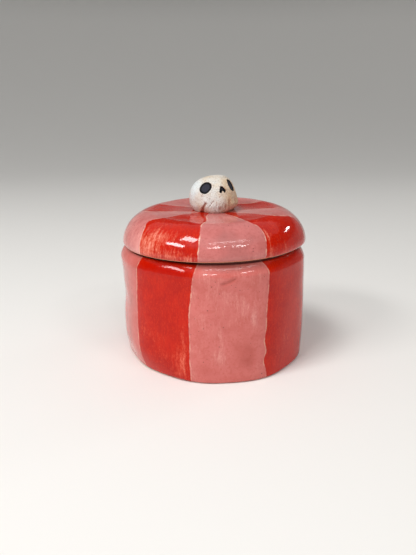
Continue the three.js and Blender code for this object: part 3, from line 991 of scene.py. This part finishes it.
@dataclass
class Jar:
    """The jar: a slab wall with a floor set in it and a coil in the corner between them."""

    surface: GeometryRecipe
    ring: GeometryRecipe
    glaze: bpy.types.Material
    clay: bpy.types.Material
    shape: HandShape = HandShape()
    radius: float = 45.5
    height: float = 57.3
    mouth: float = 39.8
    rim_width: float = 4.3
    rim_height: float = 6.0
    rim_power: float = 1.4
    lip_width: float = 1.3
    lip_height: float = 2.0
    foot_rounding: float = 1.5
    land: float = 42.3
    foot_recess: float = 0.6
    floor_top: float = 5.8
    coil: float = 3.9
    fold: tuple[Point, ...] = ((3.8, 48.1), (6.1, 48.7), (9.3, 50.1))
    fold_depth: float = 0.5
    nick: Point = (1.6, 51.4)
    columns: int = 400
    stripes: Stripes = Stripes(
        stations=(0.0, 4.0, 10.0, 14.0, 19.0, 26.0, 33.0, 43.0, 50.0, 53.0, 57.0),
        edges=(
            (-49.6, -49.9, -50.4, -50.6, -50.9, -51.3, -51.4, -50.2, -49.0, -48.3, -47.3),
            (-13.7, -13.8, -13.9, -14.0, -13.8, -14.1, -14.2, -13.0, -12.0, -11.4, -9.6),
            (33.3, 32.6, 30.7, 32.2, 31.0, 32.1, 32.2, 33.4, 33.5, 33.1, 30.0),
            77.0, 103.0, 137.0, 171.0, 205.0, 238.0, 270.0),
        seed=5)
    dabs: tuple[Dab, ...] = (
        Dab(-17.5, 26, 3.0, 9, 0.75), Dab(-19, 10, 4.5, 9, 0.8), Dab(-35, 20, 9, 4, 0.5),
        Dab(-46, 23, 4, 6, 0.6), Dab(-30, 12, 12, 4, 0.5), Dab(-24, 4, 14, 3, 0.5), Dab(48, 14, 8, 9, 0.5),
        Dab(24, 31, 2.2, 5, 0.7), Dab(17, 36, 3.0, 6, 0.3), Dab(2, 40, 12, 8, 0.2),
        Dab(4, 14, 6, 6, 0.35), Dab(27, 9, 3, 5, 0.4), Dab(-6, 52, 5, 3, 0.4), Dab(-58, 12, 4, 12, 0.4),
        Dab(20, 14, 9, 12, -0.55), Dab(-4, 6, 7, 5, -0.35), Dab(12, 47, 6, 3, -0.25),
        # The two thick dabs at 53 mm on the front-left are painted shade: they darken the red just under the
        # lid's overhang.
        Dab(-42, 53, 12, 5, -0.7), Dab(-24, 53.5, 14, 4, -0.7), Dab(-66, 28, 13, 32, -0.6),
        Dab(70, 20, 5, 12, 0.4), Dab(120, 25, 6, 12, 0.4), Dab(152, 30, 6, 10, 0.5),
        Dab(188, 18, 6, 10, 0.4), Dab(222, 33, 6, 12, 0.5), Dab(255, 22, 6, 10, 0.45),
        Dab(290, 30, 7, 12, 0.45))

    def profile(self) -> tuple[Array, Array]:
        """Trace the wall from the inner edge of the foot out, up, over the rim and down inside.

        Returns:
            Radius and height of each row, and 1 for rows inside or below, 0 for rows outside.
        """
        foot = self.foot_rounding
        shoulder = self.height - self.rim_height
        below = even([(self.mouth, 0.0), (self.radius - foot, 0.0)], 1.2)
        corner = even(arc((self.radius - foot, foot), (foot, foot), -90, 0), 0.3)
        outside = even([(self.radius, foot), (self.radius, shoulder)], 0.55)
        over = even(arc((self.radius - self.rim_width, shoulder), (self.rim_width, self.rim_height),
                        0, 90, self.rim_power), 0.35)
        lip = even(arc((self.mouth + self.lip_width, self.height - self.lip_height),
                       (self.lip_width, self.lip_height), 90, 180), 0.35)
        inside = even([(self.mouth, self.height - self.lip_height), (self.mouth, 0.0)], 1.3)
        parts = [below[:-1], corner[:-1], outside[:-1], over[:-1], lip[:-1], inside[:-1]]
        inner = np.concatenate([np.full(len(p), float(i in (0, 4, 5))) for i, p in enumerate(parts)])
        return np.vstack(parts), inner

    def crease(self, azimuth: Array, height: Array) -> Array:
        """Press in the fold left in the front, with the lip above it, and a small nick.

        Args:
            azimuth: of each point, between -180 and 180.
            height: each point's height.

        Returns:
            How deep each point lies.
        """
        u = np.radians(azimuth) * self.radius
        low, middle, high = self.fold
        away = np.minimum(segment_distance(u, height, low, middle), segment_distance(u, height, middle, high))
        lip = segment_distance(u, height - 1.0, low, high)
        nick = np.hypot(u - self.nick[0], height - self.nick[1])
        return self.fold_depth * bell(away, 0.6) - 0.16 * bell(lip, 0.9) + 0.15 * bell(nick, 0.5)

    def wall(self) -> bpy.types.Object:
        """Build the wall with its beaten flats, its fold and its painted stripes.

        Returns:
            The piece.
        """
        profile, inner = self.profile()
        azimuth, radius, height = rings_of(profile, self.columns)
        start = self.mouth + self.lip_width
        share = np.clip((radius - start) / (self.land - start), 0.0, 1.0)
        outside = 1.0 - np.broadcast_to(inner[:, None], azimuth.shape)
        crease = self.crease(signed(azimuth), height)
        reach = radius + (share * self.shape.wall(azimuth, height, self.height) - outside * crease)
        bare_foot = 0.2 + 0.7 * bump(azimuth, -50.0, 35.0)
        land = radius - 0.5 * bump(azimuth, 14.0, 45.0)
        marks = {
            "stripe": self.stripes.distance(azimuth, height, reach),
            "strokes": placed(azimuth, np.full_like(reach, self.radius), height),
            # The fold takes the thick, darker pink: glaze pooled in it, and a painted shade of the fold as
            # well.
            "thin": sum(dab.at(azimuth, height) for dab in self.dabs) - 0.2 - 0.9 * np.maximum(crease, 0.0),
            "bare": np.maximum(1.0 - outside, smoothstep(bare_foot - height, -0.4, 0.4)),
            # Painted shade: the rim's top, where the lid sits, is marked to take the dark of the gap.
            "seat_gap_shade": outside * (height > 50.0) * (1.0 - smoothstep(land, 42.1, 42.6)),
            "give": outside * smoothstep(height, 0.5, 4.0) + 0.25 * (1.0 - outside) * (height > 8.0),
        }
        piece = Turning("wall_glazed", placed(azimuth, reach, height), Ends.LOOP, marks).build()
        return self.surface.made(piece, self.glaze, 3.0, swell=0.16, swell_size=14.0, ripple=0.045,
                                 ripple_size=4.5)

    def floor(self) -> bpy.types.Object:
        """Build the floor, in one clay finish all over, drawn a little darker below.

        Returns:
            The piece.
        """
        edge = self.mouth + 0.1
        rows = np.vstack([
            even([(1.0, self.foot_recess), (edge - 0.8, self.foot_recess), (edge, 1.4)], 1.2)[:-1],
            even([(edge, 1.4), (edge, self.floor_top)], 1.2)[:-1],
            even([(edge, self.floor_top), (1.0, self.floor_top)], 1.2)])
        azimuth, radius, height = rings_of(rows, 200)
        # The floor is drawn a little darker below 3 mm.
        marks = {"give": np.where(radius < edge - 3.0, 1.0, 0.0), "darkening": 0.15 * (height <= 3.0)}
        piece = Turning("floor_clay", placed(azimuth, radius, height), Ends.POLES, marks).build()
        return self.surface.made(piece, self.clay, 8.0, swell=0.2, swell_size=16.0, ripple=0.06,
                                 ripple_size=5.0)

    def corner_coil(self) -> bpy.types.Object:
        """Sweep the coil round the corner of wall and floor, pressed smooth to a hollow fillet.

        Returns:
            The piece.
        """
        size = self.coil
        fillet = arc((-size, size), (size, size), 0, -90)
        piece = profile_loop("corner_coil", [(0.4, size), *fillet[3:-3:3], (-size, -0.4), (0.4, -0.4)])
        return self.ring.made(piece, self.clay, 2.0, radius=self.mouth, height=self.floor_top,
                              segments=240, press=0.35, presses=22)

    def build(self) -> None:
        """Build the jar's pieces and hand them over."""
        hand_over(self.wall(), Body.JAR, Slot.STRIPED, "jar_wall")
        hand_over(self.floor(), Body.JAR, Slot.CLEAR, "jar_floor")
        hand_over(self.corner_coil(), Body.JAR, Slot.CLEAR, "seam_coil")


# ---------------------------------------------------------------- the lid


@dataclass
class Lid:
    """The lid: a thick domed cap, and the flange under it that keeps it in the jar's mouth."""

    surface: GeometryRecipe
    ring: GeometryRecipe
    glaze: bpy.types.Material
    clay: bpy.types.Material
    shape: HandShape = HandShape()
    radius: float = 45.7
    base: float = 57.7
    widest: float = 59.3
    edge_width: float = 1.3
    top: float = 74.5
    shoulder_width: float = 15.0
    shoulder_power: float = 1.75
    seat_radius: float = 13.6
    seat: float = 73.1
    dark_ring_radius: float = 12.4
    land: float = 42.3
    hollow_radius: float = 33.9
    hollow_height: float = 9.0
    hollow_power: float = 3.0
    edge_lift: float = 0.45
    lift_reach: float = 7.0
    lean: float = 1.8
    lean_azimuth: float = -12.0
    flange_radius: float = 38.6
    flange_thickness: float = 4.2
    flange_depth: float = 8.0
    flange_rounding: float = 1.3
    columns: int = 400
    stripes: Stripes = Stripes(
        stations=(13.0, 18.0, 23.0, 28.0, 32.0, 35.0, 38.0, 41.0, 43.5, 45.8),
        edges=(
            (-44.0, -46.0, -47.0, -48.0, -49.0, -52.5, -53.4, -49.7, -48.2, -46.5),
            (-13.0, -12.0, -9.0, -7.5, -8.7, -9.8, -9.2, -8.8, -8.9, -9.0),
            (24.5, 25.6, 27.2, 28.0, 27.9, 29.8, 32.4, 33.1, 32.8, 31.0),
            (49.0, 55.0, 57.0, 57.4, 58.5, 65.0, 76.2, 81.4, 80.0, 74.0),
            (84.0, 86.6, 89.4, 90.2, 93.0, 95.7, 98.0, 100.0, 102.0, 102.0),
            (146.0, 140.0, 126.5, 124.6, 126.4, 128.4, 130.0, 131.0, 132.0, 132.0),
            171.0, 207.0,
            (240.0, 247.0, 249.7, 248.5, 246.3, 244.4, 243.5, 242.8, 242.0, 242.0),
            (298.0, 290.0, 286.7, 284.0, 280.5, 273.0, 263.0, 262.0, 262.0, 262.0)),
        seed=12)
    dabs: tuple[Dab, ...] = (
        Dab(-41, 9, 10, 8, 0.85), Dab(-49, 4, 4, 4, 0.3), Dab(-13, 4, 4.5, 4, 0.95),
        Dab(-28, 14, 14, 4, 0.6), Dab(-24, 5, 8, 4, 0.5), Dab(35.4, 9, 2.2, 11, 0.95),
        # The thick dab at azimuth 9 is painted shade: it darkens the pink on the lid's front shoulder, where
        # the light falls strongest.
        Dab(48, 7, 8, 6, 0.3), Dab(9, 12, 24, 13, -0.8), Dab(2, 9, 5, 4, 0.4), Dab(24, 4, 5, 4, 0.4),
        Dab(120, 12, 8, 10, 0.45), Dab(152, 9, 9, 9, 0.4), Dab(188, 10, 9, 9, 0.5),
        Dab(222, 8, 9, 9, 0.4), Dab(254, 12, 8, 8, 0.4), Dab(285, 8, 9, 9, 0.4))

    def profile(self) -> tuple[Array, Array, Array]:
        """Trace the cap from the hollow's middle out, round the edge and back over the top.

        Returns:
            Radius and height of each row, 1 for rows below and 0 for rows outside, and the way
            along the surface from the lower edge.
        """
        flat_top = self.radius - self.shoulder_width
        hollow = even(arc((0.0, self.base), (self.hollow_radius, self.hollow_height), 90, 0,
                          self.hollow_power)[1:], 1.0)
        land = even([(self.hollow_radius, self.base), (self.land, self.base)], 0.8)
        edge = even([(self.land, self.base),
                     *arc((self.radius - self.edge_width, self.widest),
                          (self.edge_width, self.widest - self.base), -90, 0)], 0.28)
        shoulder = even(arc((flat_top, self.widest), (self.shoulder_width, self.top - self.widest),
                            0, 90, self.shoulder_power), 0.5)
        r = np.linspace(flat_top, 0.6, 52)
        dish = np.c_[r, self.seat + (self.top - self.seat) * smoothstep(r, self.seat_radius, flat_top)]
        parts = [hollow[:-1], land[:-1], edge[:-1], shoulder[:-1], dish]
        rows = np.vstack(parts)
        under = np.concatenate([np.full(len(p), float(i < 2)) for i, p in enumerate(parts)])
        steps = np.r_[0.0, np.hypot(*np.diff(rows, axis=0).T)]
        return rows, under, np.cumsum(np.where(under > 0, 0.0, steps))

    def hand_shaped(self, azimuth: Array, r: Array, z: Array, under: Array) -> tuple[Array, Array]:
        """Take the cap from the round to its hand-made shape, apart from hollow and land.

        Args:
            azimuth: of each point.
            r: each point's radius.
            z: each point's height.
            under: 1 for the points of hollow and land.

        Returns:
            Radius and height of each point.
        """
        outwards = smoothstep(r, self.seat_radius, self.radius) * (1.0 - under)
        low = 1.0 - smoothstep(z, self.widest, self.widest + self.lift_reach)
        lift = 0.5 * self.edge_lift * (1.0 + np.sin(np.radians(azimuth))) * low
        shoulder = bump(r, self.radius - self.shoulder_width, self.shoulder_width)
        fall = 0.5 * self.lean * (1.0 + np.cos(np.radians(azimuth - self.lean_azimuth))) * shoulder
        level = z + outwards * lift - fall * (1.0 - low) * (1.0 - under)
        return r + outwards * self.shape.lid(azimuth), level

    def cap(self) -> bpy.types.Object:
        """Build the cap with its dished top and its painted wedges.

        Returns:
            The piece.
        """
        rows, under_rows, along_rows = self.profile()
        azimuth, radius, height = rings_of(rows, self.columns)
        under = np.broadcast_to(under_rows[:, None], azimuth.shape)
        along = np.broadcast_to(along_rows[:, None], azimuth.shape)
        reach, level = self.hand_shaped(azimuth, radius, height, under)
        station = np.where(height < self.widest + 0.3, self.stripes.stations[-1], radius)
        thin = sum(dab.at(azimuth, along) for dab in self.dabs)
        flat = smoothstep(radius, 40.2, 40.8) * (1.0 - smoothstep(radius, 43.9, 44.5))
        top = smoothstep(height, self.base, self.base + 2.5) * smoothstep(radius, 12.0, 34.0)
        marks = {
            "stripe": self.stripes.distance(azimuth, station, reach),
            "strokes": placed(azimuth, np.full_like(reach, self.radius), along),
            # The glaze is drawn darker in a ring round the skull's foot.
            "thin": thin - 0.9 * bell(radius - self.dark_ring_radius, 1.1) * (1.0 - under),
            "bare": np.maximum(under, smoothstep(self.base + 0.5 - height, -0.4, 0.4)),
            # Painted shade: the underside land, where the lid sits on the rim, is marked to take the dark of
            # the gap.
            "seat_gap_shade": (height < self.base + 0.15) * flat,
            "give": (1.0 - under) * top + 0.4 * under * (height > self.base + 1.0),
        }
        piece = Turning("cap_glazed", placed(azimuth, reach, level), Ends.POLES, marks).build()
        return self.surface.made(piece, self.glaze, 6.0, swell=0.17, swell_size=12.0, ripple=0.05,
                                 ripple_size=4.0)

    def flange(self) -> bpy.types.Object:
        """Sweep the flange under the cap, a strip of clay bent to a ring.

        Returns:
            The piece.
        """
        half, low, curve = 0.5 * self.flange_thickness, -self.flange_depth, self.flange_rounding
        corner_in = arc((curve - half, low + curve), (curve, curve), 180, 270)[::10]
        corner_out = arc((half - curve, low + curve), (curve, curve), -90, 0)[::10]
        side = (-0.05, -1.8, -3.6, -5.4)
        piece = profile_loop("flange_clay", [*((-half, y) for y in side), *corner_in, *corner_out,
                                             *((half, y) for y in side[::-1]), (0.0, side[0])])
        return self.ring.made(piece, self.clay, 4.0, radius=self.flange_radius - half, height=self.base,
                              segments=260, press=0.3, presses=17)

    def build(self) -> None:
        """Build the lid's pieces and hand them over."""
        hand_over(self.cap(), Body.LID, Slot.STRIPED, "lid_cap")
        hand_over(self.flange(), Body.RING, Slot.CLEAR, "lid_flange")


# ---------------------------------------------------------------- the skull


@dataclass(frozen=True)
class Place:
    """A place on the skull: its azimuth, and its level from -1 at the foot to 1 at the crown."""

    azimuth: float
    level: float


@dataclass
class Skull:
    """The knob: a pinched skull of speckled clay with black glaze in its sockets."""

    surface: GeometryRecipe
    clay: bpy.types.Material
    black: bpy.types.Material
    radius: float = 12.2
    middle: float = 77.6
    crown: float = 12.3
    cheek: float = 4.2
    power: float = 2.25
    crown_lean: float = 1.9
    foot_draw: float = 0.14
    face: float = 18.0
    sink: float = 0.35
    eye_width: float = 5.75
    eye_height: float = 6.0
    socket_depth: float = 1.35
    glaze_low: float = -1.3
    glaze_top: float = -0.42
    left_eye: Place = Place(-29.5, 0.388)
    right_eye: Place = Place(62.5, 0.428)
    nose: Place = Place(18.0, 0.34)
    notch: Place = Place(-28.0, -0.5)
    notch_depth: float = 0.65
    # Grooves between teeth: azimuth below and above, depth.
    teeth: tuple[tuple[float, ...], ...] = (
        (4.0, 6.0, 0.2), (13.0, 12.0, 0.08), (22.0, 20.0, 0.2), (29.0, 27.0, 0.12), (41.0, 38.0, 0.15))
    # Dimples of the jaw: azimuth, height, half width, half height, depth.
    dimples: tuple[tuple[float, ...], ...] = (
        (38.0, 78.0, 0.8, 1.6, 0.38), (14.0, 75.4, 1.0, 0.9, 0.35), (62.0, 78.2, 0.8, 1.5, 0.38),
        (28.0, 76.4, 0.7, 1.1, 0.3))
    scratch: tuple[Point, Point] = ((-0.3, 79.2), (-2.3, 76.4))
    # Way round from the front, height, size, depth.
    large_pit: tuple[float, ...] = (2.55, 81.0, 0.32, 0.3)
    pits: int = 46
    columns: int = 440
    cheek_rows: int = 44
    crown_rows: int = 146
    nose_outline: Outline = (
        (-1.6, -1.1), (-1.2, -1.45), (-0.65, -1.3), (-0.05, -0.25), (0.4, -0.85), (1.05, -1.55),
        (1.4, -1.15), (1.7, -0.25), (0.35, 1.45), (-0.3, 1.7), (-0.8, 1.5), (-1.15, 0.3))
    notch_outline: Outline = (
        (-2.2, -5.5), (0.0, -5.5), (0.1, -2.2), (1.15, 0.0), (2.4, 2.1), (2.1, 2.6), (1.35, 2.6),
        (0.1, 0.9), (-1.1, -1.0), (-2.1, -2.4))

    def point(self, azimuth: Array, level: Array) -> Array:
        """Give the points of the head before anything is pressed into it.

        Args:
            azimuth: of each point.
            level: of each point, as in Place.

        Returns:
            The points.
        """
        level = np.asarray(level, float)
        angle = 0.5 * np.pi * np.maximum(level, 0.0)
        rise = np.sin(angle) ** (2.0 / self.power)
        drop = np.maximum(-level, 0.0)
        front = 0.09 * bump(azimuth, self.face + 20.0, 75.0)
        right = 0.27 * bump(azimuth, 85.0, 75.0)
        left = 0.19 * bump(azimuth, -88.0, 80.0) * (1.0 - 0.6 * smoothstep(rise, 0.8, 1.0))
        factor = 1.0 + (left - front) * rise - right * (0.12 + 0.88 * rise**0.8) * (1.0 - drop)
        jaw = 0.06 * bump(azimuth, 2.0, 42.0) * drop
        draw = self.foot_draw + 0.12 * bump(azimuth, 68.0, 48.0)
        round_ = np.maximum(np.cos(angle), 0.0) ** (2.0 / self.power) - draw * drop**2
        points = placed(azimuth, self.radius * (round_ * factor + jaw),
                        self.middle + self.crown * rise - self.cheek * drop)
        points[..., 0] += self.crown_lean * rise**1.5
        return points

    def axes(self, place: Place) -> tuple[Array, Array]:
        """Find how a place on the head lies.

        Args:
            place: the place.

        Returns:
            Its point, and its sideways, upward and outward directions as rows.
        """
        at = self.point(place.azimuth, place.level)
        side = self.point(place.azimuth + 1.0, place.level) - at
        side /= np.linalg.norm(side)
        out = np.cross(side, self.point(place.azimuth, place.level + 0.01) - at)
        out /= np.linalg.norm(out)
        return at, np.array([side, np.cross(out, side), out])

    def against(self, points: Array, place: Place, outline: Outline, deep: float) -> tuple[Array, ...]:
        """Hold an outline against the head.

        Args:
            points: of the head.
            place: where the outline lies on it.
            outline: the outline's corners, sideways and up.
            deep: how far below the place a point still counts, so that the far side doesn't.

        Returns:
            How far each point is from the outline, how high over the place, and the way out.
        """
        at, axes = self.axes(place)
        x, y, z = np.moveaxis((points - at) @ axes.T, -1, 0)
        return np.where(z > -deep, outline_distance(x, y, outline), 9.0), z, axes[2]

    def eye_outline(self, inset: float) -> Outline:
        """Trace an eye socket, a slightly uneven oval.

        Args:
            inset: how far inside the socket's edge.

        Returns:
            Its corners.
        """
        t = np.linspace(0.0, 2.0 * np.pi, 72, endpoint=False)
        uneven = 1.0 + 0.045 * np.cos(2 * t - 1.8) + 0.015 * np.sin(4 * t)
        wide, tall = (0.5 * size - inset for size in (self.eye_width, self.eye_height))
        return tuple(zip(wide * uneven * np.cos(t), tall * uneven * np.sin(t)))

    def relief(self, azimuth: Array, points: Array) -> tuple[Array, Array]:
        """Press in the tooth grooves, the scratch, the jaw's dimples and the pits.

        Args:
            azimuth: of each point.
            points: of the head.

        Returns:
            The depth, and how far the clay is drawn darker, at each point.
        """
        around, up = np.radians(signed(azimuth)) * self.radius, points[..., 2]
        # Each part: where it lies, how deep it presses, and how far it draws the clay darker.
        parts = []
        for low, high, deep in self.teeth:
            groove = segment_distance(around, up, (math.radians(low) * self.radius, 73.6),
                                      (math.radians(high) * self.radius, 77.4))
            parts.append((bell(groove, 0.42), deep, 0.2))
        scratch = segment_distance(around, up, *self.scratch)
        parts += [(bell(scratch, 0.2), 0.28, 0.0), (bell(scratch, 0.22), 0.0, 0.3)]
        for at, height, wide, tall, deep in self.dimples:
            across = bell(around - math.radians(at) * self.radius, wide)
            parts.append((across * bell(up - height, tall), deep, 0.62))
        random = np.random.default_rng(17)
        pits = [self.large_pit]
        pits += [(random.uniform(-37, 37), random.uniform(75, 88), random.uniform(0.12, 0.3),
                  random.uniform(0.06, 0.2)) for _ in range(self.pits)]
        for side, height, size, deep in pits:
            parts.append((bell(np.hypot(around - side, up - height), size), deep, 0.7))
        return sum(deep * near for near, deep, _ in parts), sum(dark * near for near, _, dark in parts)

    def head(self) -> bpy.types.Object:
        """Build the head with its sockets, nose, notch, teeth and pits pressed in.

        Returns:
            The piece.
        """
        levels = np.r_[np.linspace(-1.0, 0.0, self.cheek_rows, endpoint=False),
                       np.linspace(0.0, 0.985, self.crown_rows)]
        azimuth, level, _ = rings_of(np.c_[levels, levels], self.columns)
        points = self.point(azimuth, level)
        side = np.roll(points, -1, axis=1) - np.roll(points, 1, axis=1)
        normal = np.cross(side, np.gradient(points, axis=0))
        normal /= np.linalg.norm(normal, axis=-1, keepdims=True)
        depth, darkening = self.relief(azimuth, points)
        points = points - normal * depth[..., None]
        eye = self.eye_outline(0.0)
        for place, outline, lip in ((self.left_eye, eye, 0.2), (self.right_eye, eye, 0.2),
                                    (self.nose, self.nose_outline, 0.1)):
            away, z, out = self.against(points, place, outline, 4.0)
            inside = 1.0 - smoothstep(away, -0.16, 0.16)
            lift = lip * bell(away - 0.55, 0.42) * (away > -0.3) - (self.socket_depth + z) * inside
            points = points + lift[..., None] * out
            # The clay is drawn darker along the edge of each socket and of the nose.
            darkening = darkening + 0.55 * bell(away, 0.22)
        away, _, out = self.against(points, self.notch, self.notch_outline, 5.0)
        points = points - self.notch_depth * (1.0 - smoothstep(away, -0.4, 0.25))[..., None] * out
        # The clay is drawn darker in the notch and at the foot, where the skull meets the lid.
        darkening = darkening + 0.8 * (1.0 - smoothstep(away, -0.25, 0.25))
        darkening = darkening + 0.3 * (1.0 - smoothstep(points[..., 2], 73.3, 74.3))
        under = points[:1] * [0.97, 0.97, 0.0] + [0.0, 0.0, self.middle - self.cheek - self.sink]
        rings = np.concatenate([under, points])
        marks = {"darkening": np.concatenate([darkening[:1], darkening]), "give": smoothstep(rings[..., 2], 73.2, 75.0)}
        piece = Turning("skull_head", rings, Ends.POLES, marks).build()
        return self.surface.made(piece, self.clay, 9.0, swell=0.22, swell_size=4.5, ripple=0.09,
                                 ripple_size=1.4)

    def pool(self, name: str, place: Place, outline: Outline, heart: Point,
             dark: float) -> bpy.types.Object:
        """Fill a socket with glaze that creeps up its sides.

        Args:
            name: the piece's name.
            place: where the socket is.
            outline: the glaze's edge in the socket's frame.
            heart: a point of the socket from which all of the edge can be seen.
            dark: the share of the way from there to the edge at which the painted shade of the socket's edge
                begins.

        Returns:
            The piece.
        """
        edge = even(outline + outline[:1], steps=96)[:-1]
        shares = np.r_[np.linspace(0.06, 0.8, 14), 0.87, 0.93, 0.97, 1.0]
        flat = np.array(heart) + (edge - heart) * np.r_[shares, 1.0, 0.5][:, None, None]
        level = np.r_[self.glaze_top + 0.2 * shares**9, self.glaze_low, self.glaze_low]
        rim = np.r_[smoothstep(shares, dark, dark + 0.31), 1.0, 1.0]
        level, rim = (np.broadcast_to(row[:, None], flat.shape[:2]) for row in (level, rim))
        at, axes = self.axes(place)
        rings = np.concatenate([flat, level[..., None]], -1) @ axes + at
        piece = Turning(name, rings, Ends.POLES, {"rim": rim}).build()
        piece.data.materials.append(self.black)
        return piece

    def build(self) -> None:
        """Build the skull and the glaze in it, and hand them over."""
        hand_over(self.head(), Body.LID, Slot.BARE, "skull_knob")
        eye = self.eye_outline(-0.05)
        nose = tuple((x * 1.02, y * 1.02) for x, y in self.nose_outline)
        for name, node, place, outline, heart, dark in (
                ("left_eye_pool", "left_eye_glaze", self.left_eye, eye, (0.0, 0.0), 0.55),
                ("right_eye_pool", "right_eye_glaze", self.right_eye, eye, (0.0, 0.0), 0.55),
                ("nose_pool", "nose_glaze", self.nose, nose, (-0.1, 0.5), 0.15)):
            hand_over(self.pool(name, place, outline, heart, dark), Body.LID, Slot.BLACK, node)


# ---------------------------------------------------------------- the studio


@dataclass(frozen=True)
class Lamp:
    """A soft lamp: where it hangs as seen from the jar, its size and its power."""

    name: str
    azimuth: float
    elevation: float
    away: float
    wide: float
    tall: float
    watts: float

    def hang(self, target: Vector) -> None:
        """Hang the lamp and turn it.

        Args:
            target: the point it is turned to.
        """
        a, e = math.radians(self.azimuth), math.radians(self.elevation)
        direction = Vector((math.sin(a) * math.cos(e), -math.cos(a) * math.cos(e), math.sin(e)))
        light = bpy.data.lights.new(self.name, "AREA")
        light.shape, light.size, light.size_y = "RECTANGLE", self.wide, self.tall
        light.energy = self.watts
        lamp = stand(self.name, light)
        lamp.location = target + direction * self.away
        lamp.rotation_euler = (-direction).to_track_quat("-Z", "Y").to_euler()
        lamp.visible_camera = False


@dataclass
class Studio:
    """A pale floor that curves up into a backdrop all round, soft lamps and the camera."""

    reach: float = 2.6
    curve: float = 1.8
    rise: float = 1.95
    paper: Colour = (238, 236, 232)
    dusk: Colour = (134, 133, 131)
    camera_at: tuple[float, float, float] = (0.0, -0.273, 0.1227)
    pitch: float = 17.3
    yaw: float = -0.65
    lens: float = 36.0
    sensor: float = 36.0
    sky: float = 0.36
    lit_point: tuple[float, float, float] = (0.0, 0.0, 0.045)
    lamps: tuple[Lamp, ...] = (
        Lamp("window", -44, 61.5, 1.0, 0.31, 0.28, 4.15),
        Lamp("window_below", -53, 38, 1.0, 0.36, 0.14, 3.1),
        Lamp("side_window", 123, 27, 1.0, 0.2, 0.02, 0.5),
        Lamp("ceiling_lamp", 30, 54, 1.0, 0.62, 0.026, 0.6),
        Lamp("ceiling_sheet", 4, 57, 1.2, 1.3, 0.5, 0.95),
        Lamp("shelf_lamp", 10, 39.5, 1.0, 0.24, 0.03, 0.9),
        Lamp("door_lamp", 40, 39.5, 1.0, 0.2, 0.024, 0.6),
        Lamp("front_sheet", -36, 30, 1.5, 1.6, 1.1, 1.1))

    def backdrop(self) -> None:
        """Lay the floor and its curved rise."""
        flat = self.reach - self.curve
        bend = [(flat + self.curve * math.sin(t), self.curve * (1 - math.cos(t)))
                for t in np.linspace(0.05, math.pi / 2, 24)]
        profile = np.array([(0.0005, 0.0), (flat, 0.0), *bend, (self.reach, self.rise)]) / MM
        azimuth, radius, height = rings_of(profile, 96)
        sweep = Turning("paper_sweep", placed(azimuth, radius, height), Ends.OPEN).build()
        paint = Paint("pale_paper")
        level = paint.node("ShaderNodeSeparateXYZ", {0: paint.spot}).outputs[2]
        tone = paint.wash(self.paper, self.dusk, level, 380.0, 850.0, 1.0)
        tooth = paint.times(paint.cloud(3.0, 1.0), 0.02)
        sweep.data.materials.append(paint.finish(tone, 0.85, tooth, Specular_IOR_Level=0.15))

    def camera(self) -> None:
        """Set the camera where the photograph was taken from."""
        p, y = math.radians(self.pitch), math.radians(self.yaw)
        forward = Vector((math.sin(y) * math.cos(p), math.cos(y) * math.cos(p), -math.sin(p)))
        data = bpy.data.cameras.new("camera")
        data.lens, data.sensor_width = self.lens, self.sensor
        data.clip_start, data.clip_end = 0.01, 20.0
        camera = stand("camera", data)
        camera.location = self.camera_at
        camera.rotation_euler = forward.to_track_quat("-Z", "Y").to_euler()
        bpy.context.scene.camera = camera

    def build(self) -> None:
        """Set up the world, the lamps, the backdrop and the camera."""
        world = bpy.data.worlds.new("studio")
        world.use_nodes = True
        background = world.node_tree.nodes["Background"].inputs
        background["Color"].default_value = (1.0, 1.0, 1.0, 1.0)
        background["Strength"].default_value = self.sky
        bpy.context.scene.world = world
        bpy.context.scene.view_settings.view_transform = "Standard"
        for lamp in self.lamps:
            lamp.hang(Vector(self.lit_point))
        self.backdrop()
        self.camera()
        log.info("studio: %d lamps, floor and camera", len(self.lamps))


def main() -> None:
    """Build the studio, the jar, the lid and the skull."""
    logging.basicConfig(level=logging.INFO, format="%(name)s: %(message)s")
    Studio().build()
    surface, ring = hand_worked_surface(), pressed_ring()
    jar_glaze = StripedGlaze("jar_striped_glaze", edge_line=0.5, shine=0.27, inside_roughness=0.3,
                             thin_red=(214, 70, 46), thinnest_red=(230, 116, 92))
    # Painted shade: the lid's pinks are darker copies of the jar's, which make up for the stronger light that
    # falls on the lid.
    lid_glaze = StripedGlaze("lid_striped_glaze", edge_line=0.8, shine=0.5, inside_roughness=0.6,
                             peel=0.045, pink=(207, 121, 117), deep_pink=(182, 94, 87),
                             heavy_pink=(166, 102, 98))
    inner_clay = Clay("inner_clay", roughness=0.3, coat=0.4)
    # The skull's warmer right side, lower part and crown are painted shade and warm bounce light.
    skull_clay = Clay("skull_clay", base=(221, 228, 229), warm=(217, 191, 158), darkening=(164, 100, 78),
                      painted_shade_side=0.85, painted_shade_low=0.25, painted_bounce_crown=0.4)
    Jar(surface, ring, jar_glaze.material(), inner_clay.material()).build()
    Lid(surface, ring, lid_glaze.material(), Clay("flange_clay").material()).build()
    Skull(surface, skull_clay.material(), BlackGlaze("black_glaze").material()).build()


if __name__ == "__main__":
    main()
